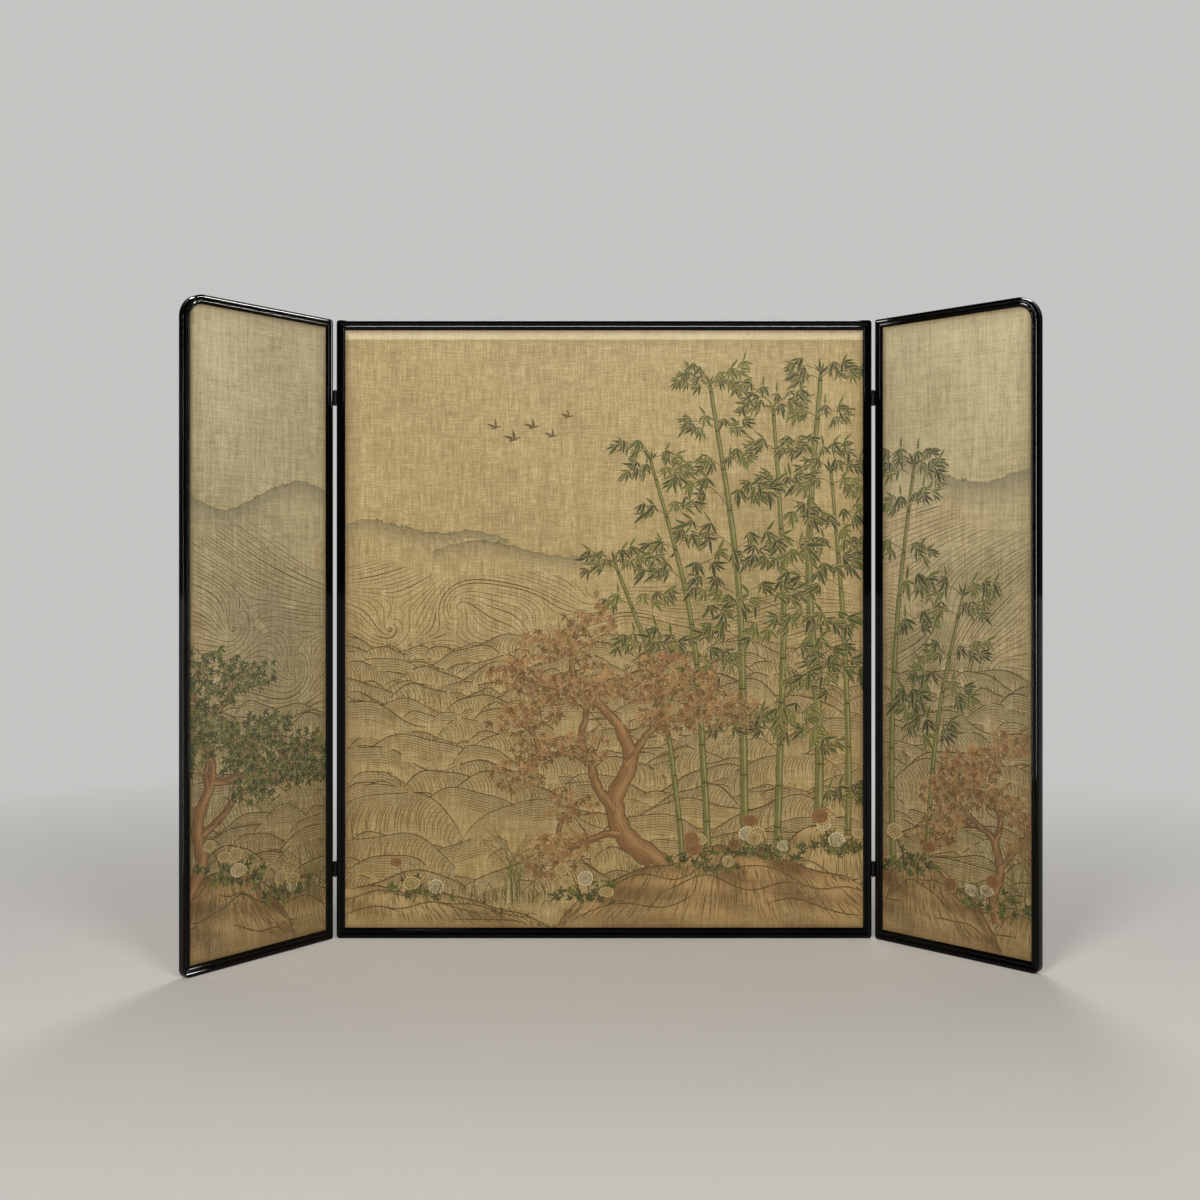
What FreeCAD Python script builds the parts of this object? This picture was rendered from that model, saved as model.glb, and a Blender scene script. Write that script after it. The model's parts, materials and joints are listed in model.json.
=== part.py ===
import FreeCAD, Part
import math
import os

# A three-panel folding screen: a wide centre panel and two narrow wings that fold towards the front.
# Each panel is a mitred frame of black lacquered moulding round a wooden lattice, which is papered on
# both sides and faced with silk. Small butt hinges with their barrels at the front join the panels.
#
# Millimetres, +Z up, and the front looks along -Y. The origin is the middle of the centre panel's
# underside. Left and right are the viewer's.

vec = FreeCAD.Vector
X_AXIS = vec(1, 0, 0)
Y_AXIS = vec(0, 1, 0)
Z_AXIS = vec(0, 0, 1)

# Whole screen
screen_height = 1560.0
centre_width = 1350.0
wing_width = 450.0
frame_thickness = 19.0
panel_gap = 5.0
left_fold_deg = 53.0
right_fold_deg = 46.0

# Frame mouldings: widths seen from the front, depths measured back from the front plane
centre_stile_face = 21.0
centre_top_face = 25.0
wing_face = 21.0
bottom_face = 26.0
bead_depth = 2.4
groove_depth = 3.2
inner_bead_crest = 1.4
inner_bead_foot = 3.0
lip_edge_depth = 4.8
silk_recess = 6.0
front_edge_radius = 2.5
back_edge_radius = 1.5
outer_bead_share = 0.54
groove_share = 0.06
inner_bead_share = 0.26

# Corners, seen from the front
small_corner_radius = 8.0
foot_corner_radius = 20.0
curved_corner_radius = 57.0

# Rebate that takes the core, behind the lip
rebate_width = 9.0
core_clearance = 0.4

# Layers of the core, from the front
heading_thickness = 0.3
silk_thickness = 0.4
lining_thickness = 0.6
lattice_thickness = 10.0
backing_thickness = 0.6
heading_height = 25.0

# Lattice bars
core_stile_width = 24.0
bar_width = 18.0
lap_clearance = 0.1
crossbar_bays = 8
centre_upright_bays = 7
wing_upright_bays = 3

# Mitre dowels and hidden nails
dowel_radius = 2.0
dowel_setback = 12.0
dowel_inset_share = 0.78
dowel_reach_share = 0.9
glue_line = 0.05
nail_radius = 0.8
nail_point = 2.5
nail_in_frame = 6.0
nail_in_core = 10.0
stile_nail_shares = (0.05, 0.2, 0.35, 0.5, 0.65, 0.8, 0.95)
centre_rail_nail_shares = (0.08, 0.22, 0.36, 0.5, 0.64, 0.78, 0.92)
wing_rail_nail_shares = (0.16, 0.42, 0.68)

# Butt hinges
leaf_height = 38.0
leaf_depth = 14.0
leaf_thickness = 1.6
leaf_corner_radius = 1.5
barrel_radius = 2.9
barrel_forward = 3.0
pin_radius = 1.3
pin_clearance = 0.05
pin_head_radius = 2.2
pin_head_height = 1.2
knuckle_gap = 0.3
knuckle_relief = 0.4
upper_hinge_from_top = 197.0
lower_hinge_from_floor = 176.0

# Hinge screws
screw_setback = 8.0
screw_spacing = 22.0
screw_length = 11.0
screw_radius = 1.25
screw_head_radius = 2.4
screw_head_height = 1.4
screw_point = 3.0
screw_clearance = 0.05
slot_width = 0.6
slot_depth = 0.7

# Running past a face that a cut or a trim must clear
overrun = 1.0
mitre_overrun_share = 0.4

# Worked out from the sizes above
front_y = -frame_thickness / 2
back_y = frame_thickness / 2
axis_y = front_y - barrel_forward
heading_y = front_y + silk_recess
silk_y = heading_y + heading_thickness
lining_y = silk_y + silk_thickness
lattice_y = lining_y + lining_thickness
backing_y = lattice_y + lattice_thickness
hinge_heights = (screen_height - upper_hinge_from_top, lower_hinge_from_floor)
knuckle_height = (leaf_height - 2 * knuckle_gap) / 3


class Panel:
    """The sizes of one panel, which stands on z = 0 with its left edge at x = 0."""

    def __init__(self, width, stile_face, top_face, curved, upright_bays, rail_nail_shares):
        self.width = width
        self.stile_face = stile_face
        self.top_face = top_face
        self.curved = curved
        self.upright_bays = upright_bays
        self.rail_nail_shares = rail_nail_shares
        self.wall = stile_face - rebate_width
        self.top_wall = top_face - rebate_width
        self.bottom_wall = bottom_face - rebate_width

    def outer_radii(self):
        """Corner radii of the frame: bottom left, bottom right, top right, top left."""
        if self.curved:
            return (small_corner_radius, foot_corner_radius, curved_corner_radius, small_corner_radius)
        return (small_corner_radius,) * 4

    def core_box(self, clearance):
        """Left, right, bottom and top of the core, this far inside the rebate's walls."""
        return (
            self.wall + clearance,
            self.width - self.wall - clearance,
            self.bottom_wall + clearance,
            screen_height - self.top_wall - clearance,
        )

    def core_radii(self, clearance):
        """Corner radii of the core, or of the rebate when the clearance is zero."""
        if self.curved:
            return (0, 0, curved_corner_radius - self.wall - clearance, 0)
        return (0, 0, 0, 0)


CENTRE = Panel(
    centre_width, centre_stile_face, centre_top_face, False, centre_upright_bays, centre_rail_nail_shares
)
WING = Panel(wing_width, wing_face, wing_face, True, wing_upright_bays, wing_rail_nail_shares)


# Plain shapes


def block(x0, x1, y0, y1, z0, z1):
    """A box between two corners."""
    return Part.makeBox(x1 - x0, y1 - y0, z1 - z0, vec(x0, y0, z0))


def rod(radius, start, end):
    """A cylinder from one point to another."""
    run = end - start
    return Part.makeCylinder(radius, run.Length, start, run)


def rounded_plate(edges, radii, y0, y1):
    """A plate between y0 and y1 whose four corners have these radii."""
    left, right, bottom, top = edges
    corners = ((left, bottom, 1, 1), (right, bottom, -1, 1), (right, top, -1, -1), (left, top, 1, -1))
    ends = []
    arcs = []
    for (x, z, inward_x, inward_z), radius in zip(corners, radii):
        beside = vec(x + inward_x * radius, y0, z)
        above = vec(x, y0, z + inward_z * radius)
        start, end = (above, beside) if inward_x == inward_z else (beside, above)
        ends.append((start, end))
        if radius > 0:
            reach = radius * (1 - math.sqrt(0.5))
            middle = vec(x + inward_x * reach, y0, z + inward_z * reach)
            arcs.append(Part.Arc(start, middle, end).toShape())
    lines = []
    for (_, end), (start, _) in zip(ends, ends[1:] + ends[:1]):
        lines.append(Part.LineSegment(end, start).toShape())
    wire = Part.Wire(Part.__sortEdges__(arcs + lines))
    return Part.Face(wire).extrude(vec(0, y1 - y0, 0))


def join(solids):
    """Separate solids kept together as one node."""
    return Part.makeCompound(solids)


def drill(shape, holes):
    """The shape with every hole cut out of it."""
    if not holes:
        return shape
    return shape.cut(join(holes))


# Frame mouldings


def moulding_section(face):
    """The moulding's section on z = 0, with its outer edge at x = 0 and its front towards -y.

    Two beads run along the front with a groove between them, and the lip slopes down to the silk.
    The outer side and the back run past the frame's blank, which trims them.
    """
    outer_end = face * outer_bead_share
    inner_start = face * (outer_bead_share + groove_share)
    inner_end = inner_start + face * inner_bead_share

    def at(across, depth):
        return vec(across, front_y + depth, 0)

    bead_foot = at(0, bead_depth)
    bead_crest = at(outer_end / 2, 0)
    groove_start = at(outer_end, bead_depth)
    groove_floor = at((outer_end + inner_start) / 2, groove_depth)
    groove_end = at(inner_start, bead_depth)
    inner_crest = at((inner_start + inner_end) / 2, inner_bead_crest)
    inner_foot = at(inner_end, inner_bead_foot)
    lip_edge = at(face, lip_edge_depth)
    back_inner = vec(face, back_y + overrun, 0)
    back_outer = vec(-overrun, back_y + overrun, 0)
    side_front = at(-overrun, bead_depth)
    edges = [
        Part.Arc(bead_foot, bead_crest, groove_start).toShape(),
        Part.Arc(groove_start, groove_floor, groove_end).toShape(),
        Part.Arc(groove_end, inner_crest, inner_foot).toShape(),
        Part.LineSegment(inner_foot, lip_edge).toShape(),
        Part.LineSegment(lip_edge, back_inner).toShape(),
        Part.LineSegment(back_inner, back_outer).toShape(),
        Part.LineSegment(back_outer, side_front).toShape(),
        Part.LineSegment(side_front, bead_foot).toShape(),
    ]
    return Part.Face(Part.Wire(edges))


def moulding(face, length, start, end):
    """A length of moulding along +z, trimmed at both ends.

    An end is ("mitre", width of the member that it meets) or ("square", how far short it stops).
    """
    near = -mitre_overrun_share
    far = 1 + mitre_overrun_share

    def cut_line(kind, size, base, inward):
        if kind == "square":
            return base + inward * size, base + inward * size
        return base + inward * size * near, base + inward * size * far

    low_outer, low_inner = cut_line(*start, 0, 1)
    high_outer, high_inner = cut_line(*end, length, -1)
    corners = (
        (face * near, low_outer),
        (face * far, low_inner),
        (face * far, high_inner),
        (face * near, high_outer),
    )
    points = [vec(x, front_y - overrun, z) for x, z in corners]
    wedge = Part.Face(Part.makePolygon(points + points[:1])).extrude(vec(0, frame_thickness + 3 * overrun, 0))
    lowest = min(low_outer, low_inner) - overrun
    highest = max(high_outer, high_inner) + overrun
    bar = moulding_section(face)
    bar.translate(vec(0, 0, lowest))
    return bar.extrude(vec(0, 0, highest - lowest)).common(wedge)


def frame_blank(panel):
    """The frame's outer shape, with the edges of its front and back rounded."""
    plate = rounded_plate((0, panel.width, 0, screen_height), panel.outer_radii(), front_y, back_y)
    for y, radius in ((front_y, front_edge_radius), (back_y, back_edge_radius)):
        rim = []
        for edge in plate.Edges:
            if abs(edge.BoundBox.YMin - y) + abs(edge.BoundBox.YMax - y) < glue_line:
                rim.append(edge)
        plate = plate.makeFillet(radius, rim)
    return plate


def frame_members(panel):
    """The stiles and rails of one panel, and the corner block of a wing, before any drilling."""
    width = panel.width
    side_mitre = ("mitre", panel.stile_face)
    bottom_mitre = ("mitre", bottom_face)
    top_mitre = ("mitre", panel.top_face)
    curve_end = ("square", curved_corner_radius) if panel.curved else None
    turned = {
        "left_stile": (moulding(panel.stile_face, screen_height, bottom_mitre, top_mitre), 0, vec(0, 0, 0)),
        "top_rail": (
            moulding(panel.top_face, width, side_mitre, curve_end or side_mitre),
            90,
            vec(0, 0, screen_height),
        ),
        "right_stile": (
            moulding(panel.stile_face, screen_height, curve_end or top_mitre, bottom_mitre),
            180,
            vec(width, 0, screen_height),
        ),
        "bottom_rail": (moulding(bottom_face, width, side_mitre, side_mitre), -90, vec(width, 0, 0)),
    }
    members = {}
    for name, (bar, turn, place) in turned.items():
        bar.rotate(vec(0, 0, 0), Y_AXIS, turn)
        bar.translate(place)
        members[name] = bar
    if panel.curved:
        centre = vec(width - curved_corner_radius, 0, screen_height - curved_corner_radius)
        section = moulding_section(panel.stile_face)
        section.rotate(vec(0, 0, 0), Y_AXIS, 180)
        section.translate(vec(width, 0, centre.z))
        members["corner_block"] = section.revolve(centre, -Y_AXIS, 90)
    blank = frame_blank(panel)
    rebate = rounded_plate(panel.core_box(0), panel.core_radii(0), heading_y, back_y + overrun)
    return {name: member.common(blank).cut(rebate) for name, member in members.items()}


# Fastenings inside a panel


def dowel_lines(panel):
    """Start and end of each dowel across the frame's corner joints."""
    inset = panel.wall * dowel_inset_share
    reach = inset * dowel_reach_share
    y = front_y + dowel_setback
    corners = [(0, 0, 1, 1), (panel.width, 0, -1, 1), (0, screen_height, 1, -1)]
    if not panel.curved:
        corners.append((panel.width, screen_height, -1, -1))
    lines = []
    for x, z, inward_x, inward_z in corners:
        middle = vec(x + inward_x * inset, y, z + inward_z * inset)
        half = vec(inward_x, 0, -inward_z).normalize() * reach
        lines.append((middle - half, middle + half))
    if panel.curved:
        on_rail = vec(panel.width - curved_corner_radius, y, screen_height - panel.top_wall / 2)
        on_stile = vec(panel.width - panel.wall / 2, y, screen_height - curved_corner_radius)
        lines.append((on_rail - X_AXIS * reach, on_rail + X_AXIS * reach))
        lines.append((on_stile - Z_AXIS * reach, on_stile + Z_AXIS * reach))
    return lines


def nail_lines(panel):
    """Tip in the frame and tip in the core of each hidden nail round the core."""
    left, right, bottom, top = panel.core_box(0)
    y = lattice_y + lattice_thickness / 2
    seats = []
    for share in stile_nail_shares:
        height = screen_height * share
        seats.append((vec(left, y, height), X_AXIS))
        seats.append((vec(right, y, height), -X_AXIS))
    for share in panel.rail_nail_shares:
        across = panel.width * share
        seats.append((vec(across, y, bottom), Z_AXIS))
        seats.append((vec(across, y, top), -Z_AXIS))
    rounding = panel.core_radii(0)[2]
    lines = []
    for seat, inward in seats:
        if seat.x > right - rounding and seat.z > top - rounding:
            continue
        lines.append((seat - inward * nail_in_frame, seat + inward * nail_in_core))
    return lines


def nail(start, end):
    """A round nail pointed at both ends."""
    along = (end - start).normalize()
    low = start + along * nail_point
    high = end - along * nail_point
    low_tip = Part.makeCone(0, nail_radius, nail_point, start, along)
    high_tip = Part.makeCone(nail_radius, 0, nail_point, high, along)
    return rod(nail_radius, low, high).fuse([low_tip, high_tip]).removeSplitter()


# Lattice core


def spread(low, high, bays):
    """The places that divide the run between two limits into this many equal bays."""
    step = (high - low) / bays
    return [low + step * index for index in range(1, bays)]


def lattice(panel, holes):
    """The core's wooden lattice: two stiles, crossbars between them and uprights lapped over them."""
    left, right, bottom, top = panel.core_box(core_clearance)
    lap_y = lattice_y + lattice_thickness / 2
    half_bar = bar_width / 2
    inner_left = left + core_stile_width
    inner_right = right - core_stile_width
    first = bottom + half_bar
    last = top - half_bar
    crossbar_heights = [first] + spread(first, last, crossbar_bays) + [last]
    upright_places = spread(inner_left - half_bar, inner_right + half_bar, panel.upright_bays)

    stiles = {
        "lattice_left_stile": block(left, inner_left, lattice_y, backing_y, bottom, top),
        "lattice_right_stile": block(inner_right, right, lattice_y, backing_y, bottom, top),
    }
    half_slot = half_bar + lap_clearance
    crossbars = []
    for z in crossbar_heights:
        bar = block(inner_left, inner_right, lattice_y, backing_y, z - half_bar, z + half_bar)
        slots = []
        for x in upright_places:
            slots.append(block(x - half_slot, x + half_slot, lattice_y, lap_y, z - bar_width, z + bar_width))
        crossbars.append(drill(bar, slots))
    uprights = []
    for x in upright_places:
        bar = block(x - half_bar, x + half_bar, lattice_y, backing_y, bottom, top)
        slots = []
        for z in crossbar_heights:
            slots.append(block(x - bar_width, x + bar_width, lap_y, backing_y, z - half_slot, z + half_slot))
        uprights.append(drill(bar, slots))
    pieces = dict(stiles)
    pieces["lattice_crossbars"] = join(crossbars)
    pieces["lattice_uprights"] = join(uprights)
    shape = rounded_plate(
        panel.core_box(core_clearance), panel.core_radii(core_clearance), lattice_y, backing_y
    )
    return {name: drill(piece.common(shape), holes) for name, piece in pieces.items()}


def coverings(panel):
    """The sheets on the core: lining paper and silk in front, and paper at the back."""
    edges = panel.core_box(core_clearance)
    radii = panel.core_radii(core_clearance)
    return {
        "painted_silk": rounded_plate(edges, radii, silk_y, lining_y),
        "lining_paper": rounded_plate(edges, radii, lining_y, lattice_y),
        "back_paper": rounded_plate(edges, radii, backing_y, backing_y + backing_thickness),
    }


def heading_strip(panel):
    """The plain strip of paler silk along the top of the centre panel's painting."""
    left, right, _, top = panel.core_box(core_clearance)
    foot = screen_height - panel.top_face - heading_height
    return block(left, right, heading_y, silk_y, foot, top)


# Hinges


def knuckle_span(index):
    """Bottom and top of one of a hinge's three knuckles, counted from below, about its middle."""
    low = -leaf_height / 2 + index * (knuckle_height + knuckle_gap)
    return low, low + knuckle_height


def screw_heights():
    """Heights of a leaf's two screws about the hinge's middle."""
    return (-screw_spacing / 2, screw_spacing / 2)


def screw(side, z):
    """A countersunk screw through a leaf, pointing away from the gap."""
    start = vec(side * (panel_gap / 2 - leaf_thickness), screw_setback + barrel_forward, z)
    along = X_AXIS * side
    under_head = start + along * screw_head_height
    tip = start + along * screw_length
    head = Part.makeCone(screw_head_radius, screw_radius, screw_head_height, start, along)
    shank = rod(screw_radius, under_head, tip - along * screw_point)
    point = Part.makeCone(screw_radius, 0, screw_point, tip - along * screw_point, along)
    body = head.fuse([shank, point]).removeSplitter()
    slot_start = min(start.x - side * overrun, start.x + side * slot_depth)
    slot_end = max(start.x - side * overrun, start.x + side * slot_depth)
    slot = block(
        slot_start,
        slot_end,
        start.y - screw_head_radius - overrun,
        start.y + screw_head_radius + overrun,
        z - slot_width / 2,
        z + slot_width / 2,
    )
    return body.cut(slot)


def leaf(side, own_knuckles):
    """One hinge leaf about the pin's axis, with its plate on the given side of the gap."""
    near = side * (panel_gap / 2 - leaf_thickness)
    far = side * panel_gap / 2
    plate = block(
        min(near, far), max(near, far), 0, barrel_forward + leaf_depth, -leaf_height / 2, leaf_height / 2
    )
    outer_edges = []
    for edge in plate.Edges:
        across = edge.BoundBox.XLength > leaf_thickness / 2
        if across and edge.BoundBox.YMin > leaf_depth:
            outer_edges.append(edge)
    plate = plate.makeFillet(leaf_corner_radius, outer_edges)
    knuckles = []
    reliefs = []
    for index in range(3):
        low, high = knuckle_span(index)
        if index in own_knuckles:
            knuckles.append(Part.makeCylinder(barrel_radius, high - low, vec(0, 0, low)))
        else:
            clear = barrel_radius + knuckle_relief
            low -= knuckle_gap
            high += knuckle_gap
            reliefs.append(Part.makeCylinder(clear, high - low, vec(0, 0, low)))
    shape = drill(plate, reliefs).fuse(knuckles)
    bore = Part.makeCylinder(pin_radius + pin_clearance, leaf_height + 2 * overrun)
    bore.translate(vec(0, 0, -leaf_height / 2 - overrun))
    shape = shape.cut(bore)
    holes = []
    for z in screw_heights():
        start = vec(near - side * overrun, screw_setback + barrel_forward, z)
        holes.append(rod(screw_radius + screw_clearance, start, start + X_AXIS * side * leaf_depth))
        mouth = vec(near, start.y, z)
        holes.append(
            Part.makeCone(
                screw_head_radius + screw_clearance,
                screw_radius + screw_clearance,
                screw_head_height,
                mouth,
                X_AXIS * side,
            )
        )
    return drill(shape, holes).removeSplitter()


def hinge_pin():
    """A hinge pin about its own axis, with a flat head at each end."""
    half = leaf_height / 2
    pin = Part.makeCylinder(pin_radius, leaf_height, vec(0, 0, -half))
    top_head = Part.makeCylinder(pin_head_radius, pin_head_height, vec(0, 0, half))
    bottom_head = Part.makeCylinder(pin_head_radius, pin_head_height, vec(0, 0, -half - pin_head_height))
    return pin.fuse([top_head, bottom_head]).removeSplitter()


def pilot_holes(edge_x, outward):
    """Holes for the hinge screws in a stile whose outer side is at edge_x and faces outward."""
    holes = []
    length = screw_length - leaf_thickness + overrun
    for middle in hinge_heights:
        for z in screw_heights():
            start = vec(edge_x + outward * overrun, front_y + screw_setback, middle + z)
            reach = X_AXIS * -outward * (length + overrun)
            holes.append(rod(screw_radius + screw_clearance, start, start + reach))
    return holes


# Assembly


def panel_pieces(panel, hinge_edges):
    """Every piece of one panel but its hinges, in the panel's own place."""
    dowels = dowel_lines(panel)
    nails = nail_lines(panel)
    dowel_holes = [rod(dowel_radius + glue_line, start, end) for start, end in dowels]
    nail_holes = [rod(nail_radius + glue_line, start, end) for start, end in nails]
    holes = dowel_holes + nail_holes
    for edge_x, outward in hinge_edges:
        holes += pilot_holes(edge_x, outward)
    pieces = {name: drill(member, holes) for name, member in frame_members(panel).items()}
    pieces["corner_dowels"] = join([rod(dowel_radius, start, end) for start, end in dowels])
    pieces["hidden_nails"] = join([nail(start, end) for start, end in nails])
    pieces.update(lattice(panel, nail_holes))
    pieces.update(coverings(panel))
    return pieces


def centre_pieces():
    """The centre panel, with its left edge moved so that it stands astride x = 0."""
    pieces = panel_pieces(CENTRE, ((0, -1), (centre_width, 1)))
    pieces["heading_silk"] = heading_strip(CENTRE)
    for shape in pieces.values():
        shape.translate(vec(-centre_width / 2, 0, 0))
    return {"centre_" + name: shape for name, shape in pieces.items()}


def wing_pieces(side):
    """A wing in line with the centre panel, with the names of its stiles said from the hinge."""
    names = {
        "left_stile": "hinge_stile",
        "right_stile": "outer_stile",
        "lattice_left_stile": "lattice_hinge_stile",
        "lattice_right_stile": "lattice_outer_stile",
    }
    prefix = "right_wing_" if side > 0 else "left_wing_"
    pieces = {}
    for name, shape in panel_pieces(WING, ((0, -1),)).items():
        if side < 0:
            shape = shape.mirror(vec(0, 0, 0), X_AXIS)
        shape.translate(vec(side * (centre_width / 2 + panel_gap), 0, 0))
        pieces[prefix + names.get(name, name)] = shape
    return pieces


def hinge_pieces(side):
    """Leaves, pins and screws of the two hinges on one side: those of the centre, then of the wing."""
    hand = "right" if side > 0 else "left"
    axis = vec(side * (centre_width + panel_gap) / 2, axis_y, 0)
    on_centre = {}
    on_wing = {}
    screws = {-side: [], side: []}
    pins = []
    for level, height in zip(("upper", "lower"), hinge_heights):
        place = axis + Z_AXIS * height
        for owner, leaf_side, knuckles, owned in (
            ("centre", -side, (0, 2), on_centre),
            ("wing", side, (1,), on_wing),
        ):
            plate = leaf(leaf_side, knuckles)
            plate.translate(place)
            owned["_".join((hand, level, "hinge", owner, "leaf"))] = plate
            for z in screw_heights():
                fastener = screw(leaf_side, z)
                fastener.translate(place)
                screws[leaf_side].append(fastener)
        pin = hinge_pin()
        pin.translate(place)
        pins.append(pin)
    on_centre[hand + "_hinge_pins"] = join(pins)
    on_centre[hand + "_hinge_centre_screws"] = join(screws[-side])
    on_wing[hand + "_hinge_wing_screws"] = join(screws[side])
    return on_centre, on_wing


def build():
    """Every node of the screen, with the wings folded forward to their rest angles."""
    nodes = centre_pieces()
    for side, fold in ((-1, left_fold_deg), (1, right_fold_deg)):
        on_centre, on_wing = hinge_pieces(side)
        nodes.update(on_centre)
        moving = wing_pieces(side)
        moving.update(on_wing)
        axis = vec(side * (centre_width + panel_gap) / 2, axis_y, 0)
        for shape in moving.values():
            shape.rotate(axis, Z_AXIS, -side * fold)
        nodes.update(moving)
    return nodes


os.makedirs("parts", exist_ok=True)
for node, shape in build().items():
    solids = shape.Solids
    body = solids[0] if len(solids) == 1 else join(solids)
    body.exportStep("parts/" + node + ".step")
    print(node, len(solids), "solid" if len(solids) == 1 else "solids", round(body.Volume), "mm3")
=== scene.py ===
import bisect
import json
import math
import random

import bpy
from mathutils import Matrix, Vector


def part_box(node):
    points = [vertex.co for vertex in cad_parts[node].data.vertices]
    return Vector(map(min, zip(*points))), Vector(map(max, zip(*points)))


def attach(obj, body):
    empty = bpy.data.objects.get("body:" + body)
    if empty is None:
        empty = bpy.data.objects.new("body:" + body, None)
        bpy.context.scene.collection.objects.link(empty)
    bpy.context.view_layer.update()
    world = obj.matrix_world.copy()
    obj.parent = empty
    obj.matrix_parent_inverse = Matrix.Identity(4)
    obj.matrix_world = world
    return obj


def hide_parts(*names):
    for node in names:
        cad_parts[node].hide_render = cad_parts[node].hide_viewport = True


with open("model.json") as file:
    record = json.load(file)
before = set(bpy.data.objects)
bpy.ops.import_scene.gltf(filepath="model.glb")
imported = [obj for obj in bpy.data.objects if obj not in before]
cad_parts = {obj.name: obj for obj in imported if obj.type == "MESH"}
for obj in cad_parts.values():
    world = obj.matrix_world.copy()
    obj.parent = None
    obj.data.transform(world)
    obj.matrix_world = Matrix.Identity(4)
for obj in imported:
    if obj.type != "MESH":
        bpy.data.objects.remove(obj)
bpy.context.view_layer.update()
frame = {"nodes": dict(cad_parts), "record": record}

# A three-panel folding screen: black lacquered frames round painted silk. The silk carries a generic
# autumn garden of bamboo, maple, chrysanthemums and flowing water in ink and mineral colours.
# A place in the painting is a complex number: millimetres across the silk and, as its imaginary part,
# millimetres up, from the silk's lower left corner as the viewer sees it. Angles are radians.

MM = 0.001


# Colours


def linear(*screen):
    """A colour given as 0 to 255 on screen, as the linear values that a shader takes."""
    shares = [value / 255 for value in screen]
    return tuple(share / 12.92 if share <= 0.04045 else ((share + 0.055) / 1.055) ** 2.4 for share in shares)


def palette(*colours):
    return tuple(linear(*colour) for colour in colours)


def toned(colour, share):
    """A lighter or darker colour of the same hue."""
    return tuple(min(1.0, value * share) for value in colour)


INK = linear(66, 48, 26)
SOFT_INK = linear(92, 72, 42)
LEAF_EDGE = linear(30, 36, 20)
LEAF_GREENS = palette((38, 60, 24), (56, 76, 30), (28, 48, 30), (84, 94, 40), (34, 62, 32))
CULM = linear(98, 102, 54)
CULM_LIGHT = linear(140, 138, 84)
BARK_EDGE = linear(64, 38, 24)
BARK = linear(128, 90, 58)
BARK_LIGHT = linear(164, 124, 82)
RUSSETS = palette((128, 90, 56), (142, 104, 66), (110, 74, 46), (152, 116, 74), (106, 78, 46))
# The dark and the light of each kind of ground
EARTH = palette((98, 64, 40), (176, 142, 94))
SAND = palette((130, 104, 64), (184, 158, 108))
PETALS = palette((214, 200, 162), (158, 112, 76), (204, 178, 122))
MOSS = linear(86, 90, 52)
GREY_WASH = linear(100, 100, 80)


# Panels


class Silk:
    """The front of one panel's silk, as the frame has it, and the places on it."""

    def __init__(self, name, body):
        self.name = name
        self.body = body
        self.node = name + "_painted_silk"
        mesh = frame["nodes"][self.node].data
        facing = [p for p in mesh.polygons if p.normal.y < 0]
        self.out = max(facing, key=lambda p: p.area).normal.copy()
        self.across = Vector((0, 0, 1)).cross(self.out)
        corners = [v.co for v in mesh.vertices]
        self.depth = max(co.dot(self.out) for co in corners)
        reach = [co.dot(self.across) for co in corners]
        heights = [co.z for co in corners]
        self.left, self.low = min(reach), min(heights)
        self.width = (max(reach) - self.left) / MM
        self.height = (max(heights) - self.low) / MM
        self.roundings = []
        for edge in (min(reach), max(reach)):
            top = max(z for r, z in zip(reach, heights) if abs(r - edge) < MM / 10)
            self.roundings.append((max(heights) - top) / MM)

    def rise(self, u, v):
        """How far the silk stands proud between the lattice bars that carry it, in millimetres."""
        return 0.05 + 0.04 * math.sin(u / 46) * math.sin(v / 52 + 1) + 0.01 * math.sin(u / 19 + v / 23)

    def at(self, place, lift=0.0):
        """The point of the scene at a place, lifted by so many millimetres."""
        proud = self.depth + (self.rise(place.real, place.imag) + lift) * MM
        point = self.out * proud + self.across * (self.left + place.real * MM)
        point.z += self.low + place.imag * MM
        return point

    def inside(self, place):
        """The same place, moved onto the silk if it lies past a rounded top corner."""
        for side, radius in zip((-1, 1), self.roundings):
            centre = complex(radius if side < 0 else self.width - radius, self.height - radius)
            off = place - centre
            if radius > 1 and off.real * side > 0 and off.imag > 0 and abs(off) > radius:
                return centre + off * radius / abs(off)
        return place


CENTRE = Silk("centre", "centre_panel")
LEFT = Silk("left_wing", "left_wing")
RIGHT = Silk("right_wing", "right_wing")


# Shader building


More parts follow.
